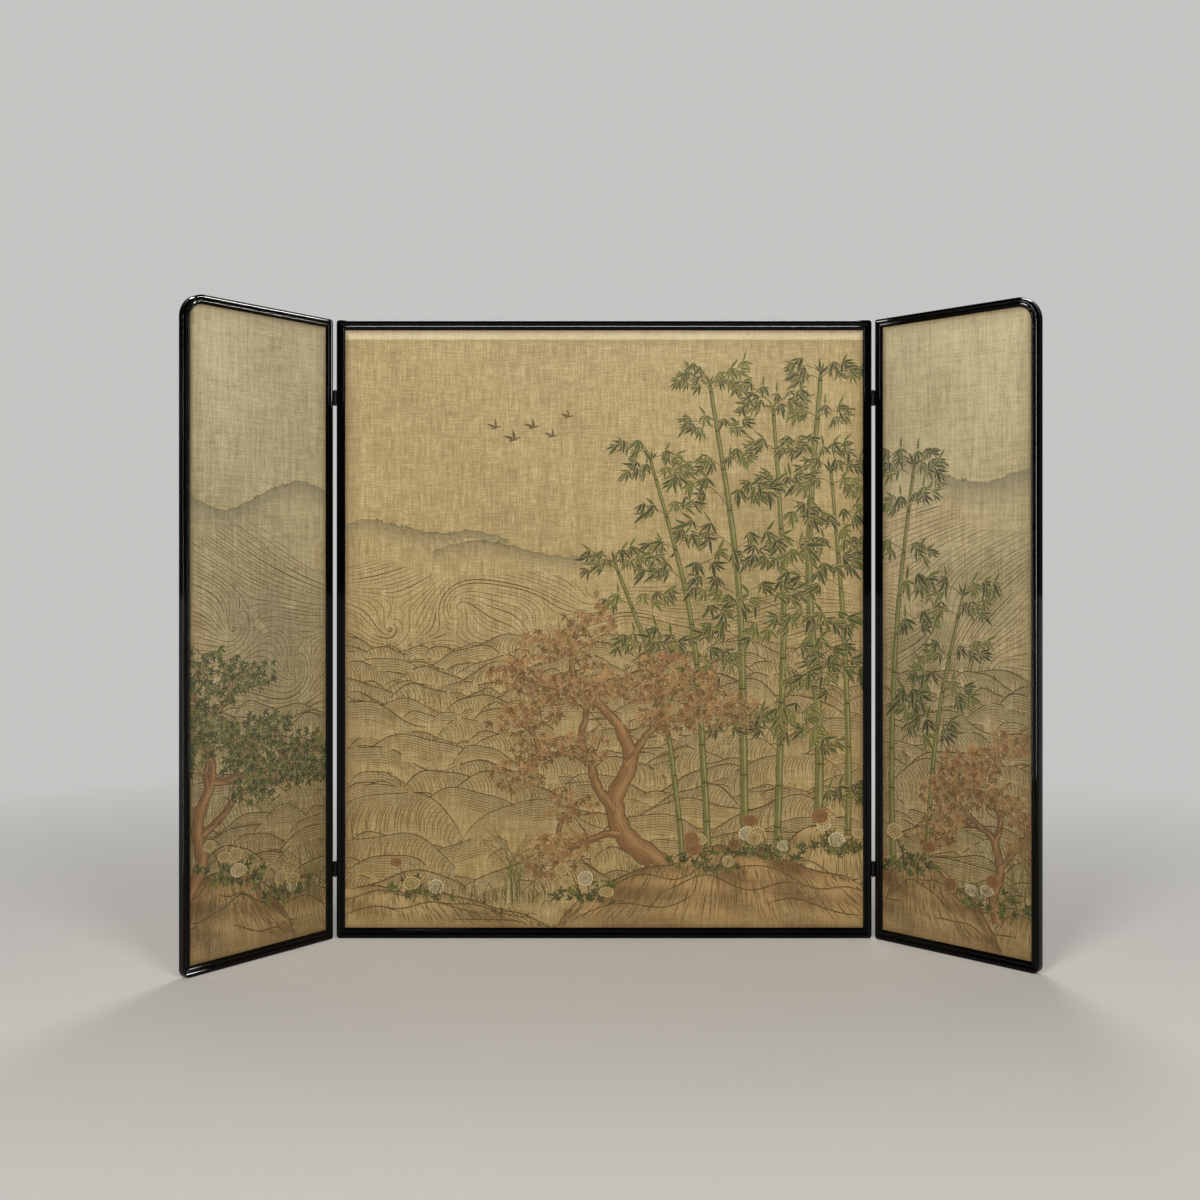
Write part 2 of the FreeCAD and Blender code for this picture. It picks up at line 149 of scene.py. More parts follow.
class Shader:
    """The nodes of a material or of the world, and short ways to add to them."""

    def __init__(self, name, blocks="materials", surface="Principled BSDF", space="Object"):
        self.block = getattr(bpy.data, blocks).new(name)
        self.block.use_nodes = True
        self.tree = self.block.node_tree
        self.surface = self.tree.nodes[surface]
        self.place = self.node("TexCoord").outputs[space]

    def node(self, kind, inputs=(), **settings):
        """Adds a node. Its inputs are given in order or by name."""
        added = self.tree.nodes.new("ShaderNode" + kind)
        for name, value in settings.items():
            setattr(added, name, value)
        for key, value in inputs.items() if isinstance(inputs, dict) else enumerate(inputs):
            self.fill(added.inputs[key], value)
        return added

    def fill(self, socket, value):
        """Links an output, or sets a plain value."""
        if isinstance(value, bpy.types.NodeSocket):
            self.tree.links.new(value, socket)
        elif isinstance(value, tuple) and len(value) == 3 and len(socket.default_value) == 4:
            socket.default_value = (*value, 1)
        else:
            socket.default_value = value

    def maths(self, operation, first, second=0.0, clamp=False):
        return self.node("Math", (first, second), operation=operation, use_clamp=clamp).outputs[0]

    def add(self, *parts):
        """The sum of (value, weight) pairs."""
        total = 0.0
        for value, weight in parts:
            total = self.maths("ADD", self.maths("MULTIPLY", value, weight), total)
        return total

    def mix(self, share, first, second):
        inputs = {"Factor": share, "A": first, "B": second}
        return self.node("Mix", inputs, data_type="RGBA").outputs["Result"]

    def span(self, value, low, high, to_low=0.0, to_high=1.0):
        """The value, spread from one range to another and held inside it."""
        return self.node("MapRange", (value, low, high, to_low, to_high), clamp=True).outputs[0]

    def noise(self, vector, scale, detail=2.0, rough=0.5):
        """Noise of one scale, or of a scale for each axis."""
        if isinstance(scale, tuple):
            vector = self.node("VectorMath", (vector, scale), operation="MULTIPLY").outputs[0]
            scale = 1
        inputs = {"Vector": vector, "Scale": scale, "Detail": detail, "Roughness": rough}
        return self.node("TexNoise", inputs).outputs["Fac"]

    def bump(self, height, strength, distance):
        inputs = {"Strength": strength, "Distance": distance, "Height": height}
        self.fill(self.surface.inputs["Normal"], self.node("Bump", inputs).outputs["Normal"])

    def finish(self, colour, rough, **plain):
        self.fill(self.surface.inputs["Base Color"], colour)
        self.fill(self.surface.inputs["Roughness"], rough)
        for name, value in plain.items():
            self.surface.inputs[name.replace("_", " ")].default_value = value
        return self.block

    def on_panel(self, silk):
        """Distances across and up a panel in metres, and both as one flat vector."""
        along = self.node("VectorMath", (self.place, silk.across), operation="DOT_PRODUCT").outputs["Value"]
        across = self.maths("SUBTRACT", along, silk.left)
        up = self.maths("SUBTRACT", self.node("SeparateXYZ", (self.place,)).outputs["Z"], silk.low)
        return across, up, self.node("CombineXYZ", (across, up, silk.left * 3)).outputs[0]


# Materials


def lacquer():
    """Black lacquer: deep and glossy, with a faint ripple and dulled patches."""
    s = Shader("black_lacquer")
    rubbed = s.noise(s.place, 9, 4, 0.6)
    fine = s.noise(s.place, 300, 2)
    colour = s.mix(s.span(rubbed, 0.5, 0.75), (0.0012, 0.001, 0.0009), (0.003, 0.0022, 0.0017))
    s.bump(s.add((s.noise(s.place, 45, 2), 1.0), (fine, 0.1)), 0.012, 0.0002)
    return s.finish(colour, s.span(rubbed, 0.35, 0.75, 0.03, 0.06), Specular_IOR_Level=0.16)


def hinge_metal():
    """Black-finished metal with brown showing where it is handled."""
    s = Shader("hinge_metal")
    worn = s.noise(s.place, 160, 4, 0.6)
    colour = s.mix(s.span(worn, 0.56, 0.7), (0.012, 0.011, 0.011), (0.06, 0.04, 0.02))
    s.bump(s.noise(s.place, 700, 2), 0.2, 0.0001)
    return s.finish(colour, s.span(worn, 0.3, 0.7, 0.32, 0.5), Metallic=0.6)


def nail_steel():
    """Bright drawn wire."""
    s = Shader("nail_steel")
    drawn = s.noise(s.place, (30, 900, 900), 2)
    return s.finish(s.mix(drawn, (0.42, 0.42, 0.43), (0.6, 0.6, 0.6)), 0.35, Metallic=1.0)


def bare_wood():
    """Planed softwood with long grain."""
    s = Shader("bare_wood")
    grain = s.noise(s.place, (90, 90, 6), 5, 0.6)
    s.bump(grain, 0.2, 0.0004)
    return s.finish(s.mix(s.span(grain, 0.3, 0.7), linear(190, 150, 104), linear(150, 108, 68)), 0.62)


def pulp(s, place):
    """A cloudy field and a fine fibrous one, as paper has them."""
    return s.noise(place, 5, 4, 0.6), s.noise(place, (500, 180, 500), 4, 0.7)


def lining_paper():
    """Pale layered paper."""
    s = Shader("lining_paper")
    cloudy, fibres = pulp(s, s.place)
    s.bump(fibres, 0.25, 0.0002)
    return s.finish(s.mix(s.span(cloudy, 0.3, 0.7), linear(222, 208, 178), linear(204, 186, 150)), 0.85)


def back_paper(silk):
    """Toned paper laid in lapped sheets, each a little off its neighbours in tone."""
    sheet_wide, sheet_tall, lap = 0.331, 0.509, 0.006
    s = Shader("back_paper_" + silk.name)
    across, up, flat = s.on_panel(silk)
    cloudy, fibres = pulp(s, flat)
    sheets, laps = [], []
    for distance, size in ((across, sheet_wide), (up, sheet_tall)):
        count = s.maths("DIVIDE", distance, size)
        sheets.append(s.maths("FLOOR", count))
        laps.append(s.maths("LESS_THAN", s.maths("FRACT", count), lap / size))
    lapped = s.maths("MAXIMUM", *laps)
    sheet = s.node("CombineXYZ", sheets).outputs[0]
    tone = s.node("TexWhiteNoise", {"Vector": sheet}, noise_dimensions="3D").outputs["Value"]
    colour = s.mix(tone, linear(112, 98, 72), linear(124, 109, 82))
    colour = s.mix(s.span(cloudy, 0.35, 0.75, 0, 0.5), colour, linear(92, 78, 56))
    colour = s.mix(s.span(fibres, 0.55, 0.8, 0, 0.35), colour, linear(150, 134, 104))
    colour = s.mix(s.maths("MULTIPLY", lapped, 0.4), colour, linear(84, 70, 50))
    s.bump(s.add((fibres, 1.0), (lapped, 2.0)), 0.3, 0.0002)
    return s.finish(colour, 0.82)


# Silk tones by panel: low down, high up, and the greyer tone of its stains. On the wings the dark low tone is
# painted shade and the light high tone is painted light.
SILK_TONES = {
    "centre": palette((172, 146, 94), (178, 159, 113), (158, 140, 97)),
    "left_wing": palette((158, 136, 88), (200, 188, 150), (146, 136, 98)),
    "right_wing": palette((160, 138, 90), (200, 188, 150), (146, 136, 98)),
    "heading": palette((228, 214, 176), (232, 218, 180), (220, 204, 164)),
}
SILK_ROUGH = 0.74
SILK_GLOSS = 0.12
WEAVE_DEPTH = 0.0004


def silk_ground(s, silk, tones):
    """Colour of the aged silk and the height of its weave: slubs, grain, stains, browned edges that also
    serve as painted shade, a painted shadow just inside the frame, and on the wings painted shade low down
    and painted light high up.
    """
    low_tone, high_tone, grey_tone = SILK_TONES[tones]
    across, up, flat = s.on_panel(silk)
    warp = s.noise(flat, (320, 16, 1), 3, 0.75)
    weft = s.noise(flat, (20, 300, 1), 3, 0.75)
    bands = s.noise(flat, (80, 2.2, 1), 4, 0.7)
    ribs = s.noise(flat, (3.5, 80, 1), 4, 0.7)
    grain = s.noise(flat, 420, 4, 0.75)
    mottle = s.noise(flat, 45, 4, 0.6)
    clouds = s.noise(flat, 2.4, 5, 0.55)
    stains = s.noise(flat, 8, 5, 0.65)
    # Darker low down and lighter high up: on the centre mostly a warmer tone low down, on the wings painted
    # shade low and painted light high.
    colour = s.mix(s.span(up, 0.25, 1.45), low_tone, high_tone)
    colour = s.mix(s.span(clouds, 0.42, 0.7, 0, 0.5), colour, grey_tone)
    colour = s.mix(s.span(stains, 0.52, 0.8, 0, 0.4), colour, linear(146, 118, 74))
    threads = s.add((warp, 1.2), (weft, 0.9), (grain, 1.7), (mottle, 0.35), (bands, 0.4), (ribs, 0.15))
    colour = s.mix(s.span(threads, 1.85, 2.35, 0.65, 0.0), colour, linear(100, 76, 42))
    colour = s.mix(s.span(threads, 2.35, 2.85, 0.0, 0.65), colour, linear(236, 220, 178))
    far_side = s.maths("SUBTRACT", silk.width * MM, across)
    top_side = s.maths("SUBTRACT", silk.height * MM, up)
    edge = s.maths("MINIMUM", s.maths("MINIMUM", across, far_side), s.maths("MINIMUM", up, top_side))
    # The aged silk browns towards its edges; this band also serves as painted shade next to the frame.
    browned_and_shaded = s.add((edge, 1.0), (stains, 0.05))
    colour = s.mix(s.span(browned_and_shaded, 0.03, 0.075, 0.4, 0.0), colour, linear(116, 88, 52))
    # Painted shadow: a narrow dark band just inside the frame's lip, where the rails and stiles shade the
    # silk.
    colour = s.mix(s.span(edge, 0.009, 0.02, 0.5, 0.0), colour, linear(84, 66, 40))
    return colour, s.add((warp, 1.0), (weft, 1.0), (grain, 1.2))


def silk_material(name, silk, tones):
    """Plain aged silk."""
    s = Shader(name)
    colour, weave = silk_ground(s, silk, tones)
    s.bump(weave, 0.4, WEAVE_DEPTH)
    return s.finish(colour, SILK_ROUGH, Specular_IOR_Level=SILK_GLOSS)


def paint_material(silk):
    """Ink and mineral colour on the silk: thin enough for the weave and the ground to show through."""
    s = Shader(silk.name + "_paint")
    ground, weave = silk_ground(s, silk, silk.name)
    paint = s.node("Attribute", attribute_name="paint").outputs
    wear = s.noise(s.place, 60, 5, 0.7)
    flecks = s.noise(s.place, 420, 3, 0.6)
    bare = s.add((s.span(wear, 0.5, 0.78), 0.2), (s.span(flecks, 0.5, 0.8), 0.18))
    cover = s.maths("MULTIPLY", paint["Alpha"], s.maths("SUBTRACT", 1.0, bare), True)
    tinted = s.mix(s.span(flecks, 0.3, 0.7, 0.0, 0.15), paint["Color"], ground)
    s.bump(weave, 0.3, WEAVE_DEPTH)
    return s.finish(s.mix(cover, ground, tinted), SILK_ROUGH, Specular_IOR_Level=SILK_GLOSS)


# Meshes

BAKE_MAP = "OFBake"


def add_piece(name, points, faces, material, places=None):
    """A new mesh object in the scene, with its own flat map if places gives one per point."""
    mesh = bpy.data.meshes.new(name)
    mesh.from_pydata(points, [], faces)
    mesh.materials.append(material)
    if places:
        layer = mesh.uv_layers.new(name=BAKE_MAP)
        layer.data.foreach_set("uv", [value for loop in mesh.loops for value in places[loop.vertex_index]])
    piece = bpy.data.objects.new(name, mesh)
    bpy.context.scene.collection.objects.link(piece)
    return piece


def quads(rows, columns, first=0, closed=False):
    """Faces between points in rows, by the points' numbers from the first on. Closed rows run round."""
    for row in range(rows - 1):
        start = first + row * columns
        for column in range(columns if closed else columns - 1):
            a, b = start + column, start + (column + 1) % columns
            yield a, b, b + columns, a + columns


def cloth_piece(name, silk, low, high, step, thickness, lift, material):
    """A thin closed sheet of cloth on a panel, between two opposite corners."""
    wide, tall = (high - low).real, (high - low).imag
    count_u, count_v = max(2, round(wide / step)), max(2, round(tall / step))
    front, front_places, back_places = [], [], []
    face_share = 0.98
    for row in range(count_v + 1):
        for column in range(count_u + 1):
            share_u, share_v = column / count_u, row / count_v
            place = silk.inside(low + complex(wide * share_u, tall * share_v))
            front.append(silk.at(place, lift))
            front_places.append((share_u * face_share, share_v))
            back_places.append((1 - share_u * (1 - face_share) / 2, share_v))
    back = [point - silk.out * thickness * MM for point in front]
    stride, total = count_u + 1, len(front)
    faces = list(quads(count_v + 1, stride))
    faces += [(total + a, total + d, total + c, total + b) for a, b, c, d in faces]
    rim = list(range(count_u))
    rim += [row * stride + count_u for row in range(count_v)]
    rim += [count_v * stride + column for column in range(count_u, 0, -1)]
    rim += [row * stride for row in range(count_v, 0, -1)]
    faces += [(b, a, total + a, total + b) for a, b in zip(rim, rim[1:] + rim[:1])]
    piece = add_piece(name, front + back, faces, material, front_places + back_places)
    for face in piece.data.polygons:
        face.use_smooth = True
    return piece


# Painting

LIP = 8.7  # how far the silk runs on under the frame, which stays bare


def add_ring(corners, faces, ring):
    """Adds a face with corners of its own."""
    faces.append(range(len(corners), len(corners) + len(ring)))
    corners += ring


def normals(path):
    """At each place of a path, a step of one to its left."""
    around = [path[0], *path, path[-1]]
    for before, after in zip(around, around[2:]):
        yield 1j * (after - before) / (abs(after - before) or 1.0)


class Canvas:
    """Flat painted shapes on one panel, in thin layers.

    A shape goes into the lowest layer of the present pass that has room for it, and a new pass lies over
    all that was painted before.
    """

    STEP = 0.005
    CELL = 4.0
    LEAST_AREA = 0.02
    LEAF_LAYERS = 9

    def __init__(self, silk, seed):
        self.silk = silk
        self.chance = random.Random(seed)
        self.points = []
        self.faces = []
        self.grid = {}
        self.base = 0
        self.top = 0
        self.material = paint_material(silk)

    def new_pass(self):
        self.base = self.top

    def box(self, left, right, low, high):
        """The cells of a grid between these distances across and up."""
        across = range(int(left // self.CELL), int(right // self.CELL) + 1)
        up = range(int(low // self.CELL), int(high // self.CELL) + 1)
        return {(u, v) for u in across for v in up}

    def cells(self, ring):
        """The cells that a face covers: all in its box if it is small or has four sides."""
        us = [place.real for place in ring]
        vs = [place.imag for place in ring]
        reach = max(max(us) - min(us), max(vs) - min(vs))
        if len(ring) <= 4 or reach < 3 * self.CELL:
            return self.box(min(us), max(us), min(vs), max(vs))
        middle = sum(ring) / len(ring)
        steps = math.ceil(reach / 2 / self.CELL)
        spokes = [middle + (place - middle) * step / steps for place in ring for step in range(steps + 1)]
        return {(int(place.real // self.CELL), int(place.imag // self.CELL)) for place in spokes}

    def put(self, kind, corners, faces, over=None, most=None):
        """Adds faces between corners, each (place, colour, cover), that all face the viewer.

        They lie in one layer, over the given one. If none of so many layers has room, they are left out.
        """
        start, added, under = len(self.points), [], set()
        for face in faces:
            ring = [corners[number][0] for number in face]
            area = sum(a.real * b.imag - b.real * a.imag for a, b in zip(ring, ring[1:] + ring[:1]))
            if abs(area) > self.LEAST_AREA:
                if area < 0:
                    face, ring = face[::-1], ring[::-1]
                cells = self.cells(ring)
                under |= cells
                added.append(([start + number for number in face], cells, sum(ring) / len(ring)))
        taken = {self.faces[number][2] for cell in under for number in self.grid.get(cell, ())}
        floor = self.base if over is None else over
        layer = floor + 1
        while layer in taken:
            layer += 1
        if most and layer > floor + most:
            return None
        self.top = max(self.top, layer)
        self.points += [(place, layer, colour, cover) for place, colour, cover in corners]
        for numbers, cells, middle in added:
            for cell in cells:
                self.grid.setdefault(cell, []).append(len(self.faces))
            self.faces.append((kind, numbers, layer, middle))
        return layer

    def clear(self, crest, feet):
        """Takes away what lies between a line, given from left to right, and the heights below it."""
        edge = [place.real for place in crest]
        gone = set()
        for cell in self.box(edge[0], edge[-1], min(feet), max(place.imag for place in crest)):
            for number in self.grid.get(cell, ()):
                middle = self.faces[number][3]
                after = min(max(bisect.bisect(edge, middle.real), 1), len(edge) - 1)
                a, b = crest[after - 1], crest[after]
                top = a.imag + (b.imag - a.imag) * (middle.real - a.real) / ((b.real - a.real) or 1.0)
                if edge[0] < middle.real < edge[-1] and feet[after] < middle.imag < top:
                    gone.add(number)
        for number in gone:
            for cell in self.cells([self.points[corner][0] for corner in self.faces[number][1]]):
                self.grid[cell].remove(number)
            self.faces[number] = None

    def held(self, place):
        """A place, moved inside the frame's opening."""
        u = min(max(place.real, LIP), self.silk.width - LIP)
        return complex(u, min(max(place.imag, LIP), self.silk.height - LIP))

    def on_silk(self, place):
        """Whether a place lies on the bare part of the silk."""
        return LIP < place.real < self.silk.width - LIP and LIP < place.imag < self.silk.height - LIP

    def runs(self, path):
        """The stretches of a path that lie on the bare part of the silk."""
        run = []
        for place in [*path, None]:
            if place is not None and self.on_silk(place):
                run.append(place)
                continue
            if len(run) > 1:
                yield run
            run = []

    def shapes(self, outlines, colour, cover=0.92, kind="colours"):
        """Filled outlines, laid together."""
        corners, faces = [], []
        for outline in outlines:
            add_ring(corners, faces, [(self.held(place), colour, cover) for place in outline])
        return self.put(kind, corners, faces)

    def leaf(self, outline, grown, tip, colour):
        """A leaf in two halves, split from its foot to the point numbered tip, in a hair of bare silk."""
        corners = [(self.held(place), colour, 0.0) for place in outline + grown]
        faces = list(quads(2, len(outline), closed=True))
        for half, share in ((outline[: tip + 1], 1.12), (outline[tip:] + outline[:1], 0.8)):
            add_ring(corners, faces, [(self.held(place), toned(colour, share), 0.95) for place in half])
        self.put("colours", corners, faces, most=self.LEAF_LAYERS)

    def strokes(self, lines, colour, cover=0.9, taper=0.35, kind="ink", over=None):
        """Brush lines of one colour, each (path, width), that thin out at their ends unless taper is 0."""
        corners, faces = [], []
        for path, width in ((run, width) for whole, width in lines for run in self.runs(whole)):
            faces += quads(len(path), 2, first=len(corners))
            for index, (place, side) in enumerate(zip(path, normals(path))):
                share = index / (len(path) - 1)
                swell = min(1.0, min(share, 1 - share) / taper) if taper else 1.0
                half = side * width * (0.25 + 0.75 * math.sqrt(swell)) / 2
                corners += [(place + half, colour, cover), (place - half, colour, cover)]
        return self.put(kind, corners, faces, over)

    def field(self, crest, feet, colour, covers, kind="washes"):
        """Colour between a line, given from left to right, and the heights below it. It hides what was there.

        The colour may be a function of the place.
        """
        self.clear(crest, feet)
        rows = len(covers)
        corners = []
        for top, foot in zip(crest, feet):
            for row, cover in enumerate(covers):
                place = self.held(complex(top.real, top.imag + (foot - top.imag) * row / (rows - 1)))
                corners.append((place, colour(place) if callable(colour) else colour, cover))
        shown = [face for face in quads(len(crest), rows) if covers[face[0] % rows] + covers[face[1] % rows]]
        return self.put(kind, corners, shown)

    def wash(self, middle, wide, tall, colour, cover):
        """A soft-edged stain of colour."""
        phase = (middle.real * 7 + middle.imag * 13) % math.tau
        rings = ((0.0, 1.0), (0.3, 0.92), (0.5, 0.72), (0.7, 0.42), (0.86, 0.16), (1.0, 0.0))
        around, wobble = 40, 0.2
        corners = []
        for share, strength in rings:
            for angle in (math.tau * index / around for index in range(around)):
                uneven = math.sin(3 * angle + phase) + 0.6 * math.sin(5 * angle - phase)
                reach = share * (1 + wobble * uneven)
                step = complex(wide * reach * math.cos(angle), tall * reach * math.sin(angle))
                corners.append((self.held(middle + step), colour, cover * strength))
        self.put("washes", corners, quads(len(rings), around, closed=True))

    def finish(self):
        """The meshes of everything painted, each with its lower layers first."""
        live = sorted((face for face in self.faces if face), key=lambda face: face[2])
        for kind in ("washes", "ink", "colours"):
            places, faces = {}, []
            for face in live:
                if face[0] == kind:
                    faces.append([places.setdefault(corner, len(places)) for corner in face[1]])
            used = [self.points[corner] for corner in places]
            points = [self.silk.at(place, layer * self.STEP) for place, layer, *_ in used]
            flat = [(place.real / self.silk.width, place.imag / self.silk.height) for place, *_ in used]
            piece = add_piece(f"{self.silk.name}_painted_{kind}", points, faces, self.material, flat)
            colours = [value for *_, colour, cover in used for value in (*colour, cover)]
            attribute = piece.data.color_attributes.new("paint", "FLOAT_COLOR", "POINT")
            attribute.data.foreach_set("color", colours)
            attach(piece, self.silk.body)


# Brushwork: every motif is worked out from a few sizes and a seeded generator


def polar(reach, angle, tall=1.0):
    """A step of this length at this angle, or one on an ellipse, so many times as tall as it is wide."""
    return complex(reach * math.cos(angle), reach * tall * math.sin(angle))


def curve(places, steps=8):
    """A smooth path through given points."""
    ends = [places[0], *places, places[-1]]
    path = []
    for a, b, c, d in zip(ends, ends[1:], ends[2:], ends[3:]):
        for t in (step / steps for step in range(steps)):
            square, cube = 2 * a - 5 * b + 4 * c - d, 3 * b - a - 3 * c + d
            path.append(0.5 * (2 * b + (c - a) * t + square * t**2 + cube * t**3))
    return [*path, places[-1]]


def turned(outline, place, angle, size=1.0):
    """An outline turned by an angle, sized and moved to a place."""
    turn = polar(size, angle)
    return [place + point * turn for point in outline]


BLADE_POINTS = 6
BLADE_HAIR = 2.0


def blade(length, width, bend):
    """A lance-shaped leaf along the real axis, widest in its first half and bent to one side."""
    upper, lower = [], []
    for share in (index / BLADE_POINTS for index in range(BLADE_POINTS + 1)):
        spine = complex(length * share, bend * share**2)
        half = 0.5j * width * max(0.0, math.sin(math.pi * share**0.65)) ** 0.85
        upper.append(spine + half)
        lower.append(spine - half)
    return upper + lower[-2:0:-1]


def bamboo_leaf(chance, leaves, place, angle, length, green):
    width = length * chance.uniform(0.17, 0.23)
    bend = length * chance.uniform(-0.16, 0.16)
    outline = turned(blade(length, width, bend), place, angle)
    grown = turned(blade(length * 1.03, width + BLADE_HAIR, bend), place, angle)
    leaves.append((outline, grown, BLADE_POINTS, toned(green, chance.uniform(0.7, 1.25))))


def leaf_fan(chance, leaves, place, heading, size, count):
    """Bamboo leaves spreading from one joint of a twig, all of much the same green."""
    green = chance.choice(LEAF_GREENS)
    for index in range(count):
        spread = (index / max(1, count - 1) - 0.5) * chance.uniform(1.3, 2.2)
        length = size * (1 - 0.3 * abs(spread)) * chance.uniform(0.75, 1.2)
        bamboo_leaf(chance, leaves, place, heading + spread + chance.uniform(-0.15, 0.15), length, green)


def twig(chance, stems, leaves, place, side, length, size):
    """A leafy twig that leaves a stem upwards and arches over to one side, with hanging fans of leaves."""
    steps = 6
    angle = math.pi / 2 - side * chance.uniform(0.35, 0.8)
    arch = chance.uniform(0.7, 1.5)
    path = [place]
    for step in range(steps):
        angle -= side * arch / steps
        place += polar(length / steps, angle)
        path.append(place)
        if step == 0:
            continue
        turn = angle + chance.uniform(0.3, 1.0) * (1 if step % 2 else -1)
        reach = size * chance.uniform(0.3, 0.7)
        end = place + polar(reach, turn)
        stems.append(([place, (place + end) / 2 + 0.08j * reach, end], 1.8))
        hang = -math.pi / 2 + math.cos(turn) * chance.uniform(0.3, 1.3)
        leaf_fan(chance, leaves, end, hang, size, chance.randint(5, 7))
        if chance.random() < 0.5:
            bamboo_leaf(chance, leaves, end, turn + chance.uniform(-0.4, 0.4), size * 0.8, LEAF_GREENS[3])
    stems.append((curve(path, 3), 2.6))
    leaf_fan(chance, leaves, place, angle - side * 0.4, size, 5)


def bamboo(canvas, grove, masses, size=46):
    """Stems in joints, each (width, places), that are leafy near the masses, each (place, wide, tall)."""
    chance = canvas.chance
    outlines, bodies, shines, rings, stems, leaves = [], [], [], [], [], []
    for width, *places in grove:
        path = curve(places, 16)
        joint = chance.uniform(88, 118)
        marks, travelled = [0], 0.0
        for index in range(1, len(path)):
            travelled += abs(path[index] - path[index - 1])
            if travelled > joint:
                marks.append(index)
                travelled = 0.0
                joint *= 0.985
        marks.append(len(path) - 1)
        for number, (low, high) in enumerate(zip(marks, marks[1:])):
            slim = width * (1 - 0.85 * (number / len(marks)) ** 1.4)
            part, node = path[low : high + 1], path[high]
            outlines.append((part, slim + 3))
            bodies.append((part, slim))
            shines.append(([place + slim * 0.18 for place in part], slim * 0.3))
            ring = [node + complex(slim * 0.7 * t, -1.6 * (1 - t * t)) for t in (-1, -0.5, 0, 0.5, 1)]
            rings.append((ring, 3.2))
            near_top = number > len(marks) - 6
            for side in (-1, 1):
                length = chance.uniform(50, 90) if near_top else chance.uniform(80, 170)
                tip = node + complex(side * length * 0.7, length * 0.5)
                offs = [((tip - mass).real / wide, (tip - mass).imag / tall) for mass, wide, tall in masses]
                if any(math.hypot(*off) < 1 for off in offs) or near_top or chance.random() < 0.05:
                    twig(chance, stems, leaves, node, side, length, size * (0.8 if near_top else 1.0))
        leaf_fan(chance, leaves, path[-1], math.pi / 2, size * 0.8, 4)
    canvas.new_pass()
    canvas.strokes(outlines, LEAF_EDGE, 0.9, 0)
    canvas.new_pass()
    canvas.strokes(bodies, CULM, 0.95, 0, "colours")
    canvas.new_pass()
    canvas.strokes(shines, CULM_LIGHT, 0.9, 0.1, "colours")
    canvas.strokes(rings, LEAF_EDGE, 0.95, 0.2)
    canvas.strokes(stems, BARK_EDGE, 0.9, 0.9)
    canvas.new_pass()
    for leaf in leaves:
        canvas.leaf(*leaf)


def lobed_outline():
    """A leaf of five pointed lobes from its stalk's end along the real axis, with its middle lobe 1 long."""
    lobes = ((-2.2, 0.5), (-1.15, 0.82), (0.0, 1.0), (1.15, 0.82), (2.2, 0.5))
    outline = [-0.12 + 0j]
    for index, (angle, reach) in enumerate(lobes):
        for turn, share in ((-0.34, 0.5), (-0.22, 0.74), (0.0, 1.0), (0.22, 0.74), (0.34, 0.5)):
            outline.append(polar(reach * share, angle + turn))
        if index < len(lobes) - 1:
            outline.append(polar(0.3, (angle + lobes[index + 1][0]) / 2))
    return outline


LOBED = lobed_outline()
LOBED_TIP = len(LOBED) // 2
LOBED_HAIR = 1.8
TREE_LEAF = 16


def lobed_leaf(canvas, place, angle, size, colour):
    outline, grown = turned(LOBED, place, angle, size), turned(LOBED, place, angle, size + LOBED_HAIR)
    canvas.leaf(outline, grown, LOBED_TIP, toned(colour, canvas.chance.uniform(0.78, 1.25)))


def leaf_cluster(canvas, middle, radius, count, colours):
    """A cloud of leaves round a twig's end, darker in its lower half."""
    chance = canvas.chance
    for _ in range(count):
        angle = chance.uniform(0, math.tau)
        off = polar(radius * math.sqrt(chance.random()), angle)
        hang = -math.pi / 2 + chance.uniform(-1.6, 1.6)
        colour = toned(chance.choice(colours), 1.0 + 0.25 * off.imag / radius)
        place = middle + complex(off.real * 1.2, off.imag * 0.75)
        lobed_leaf(canvas, place, hang, TREE_LEAF * chance.uniform(0.7, 1.2), colour)


def bough(chance, limbs, twigs, ends, place, angle, length, width, depth):
    """A crooked branch that forks. It adds its limbs, its fine twigs and the places of its last ones."""
    places = [place]
    steps = 4
    for _ in range(steps):
        angle += chance.uniform(-0.5, 0.5)
        place += polar(length / steps, angle)
        places.append(place)
    limbs.append((curve(places, 5), width, width * 0.6))
    ends.append(place)
    for _ in range(4):
        start = places[chance.choice((2, 3, 4))]
        turn, reach = angle + chance.uniform(-1.3, 1.3), length * chance.uniform(0.3, 0.6)
        tip = start + polar(reach, turn)
        elbow = (start + tip) / 2 + complex(chance.uniform(-6, 6), chance.uniform(-6, 6))
        twigs.append((curve([start, elbow, tip], 4), 3.4))
    if depth == 0:
        return
    for side in (-1, 1):
        start = places[-1] if side < 0 else places[chance.choice((2, 3))]
        turn = angle + side * chance.uniform(0.4, 1.0)
        bough(chance, limbs, twigs, ends, start, turn, length * 0.74, width * 0.6, depth - 1)


def limb_sides(path, width, tip_width):
    """The two sides of a knotty trunk or branch along a path."""
    last = len(path) - 1
    halves = []
    for index, side in enumerate(normals(path)):
        knots = 1 + 0.1 * math.sin(index * 1.7 + width)
        halves.append(side * (width + (tip_width - width) * index / last) / 2 * knots)
    return [[place + sign * half for place, half in zip(path, halves)] for sign in (1, -1)]


def limb(canvas, sides):
    """The body of a trunk or branch, shaded across."""
    across = ((0.0, toned(BARK, 0.78)), (0.3, BARK), (0.7, BARK_LIGHT), (1.0, toned(BARK, 0.88)))
    corners = []
    for a, b in zip(*sides):
        corners += [(canvas.held(a + (b - a) * share), tone, 0.95) for share, tone in across]
    canvas.put("colours", corners, quads(len(sides[0]), len(across)))


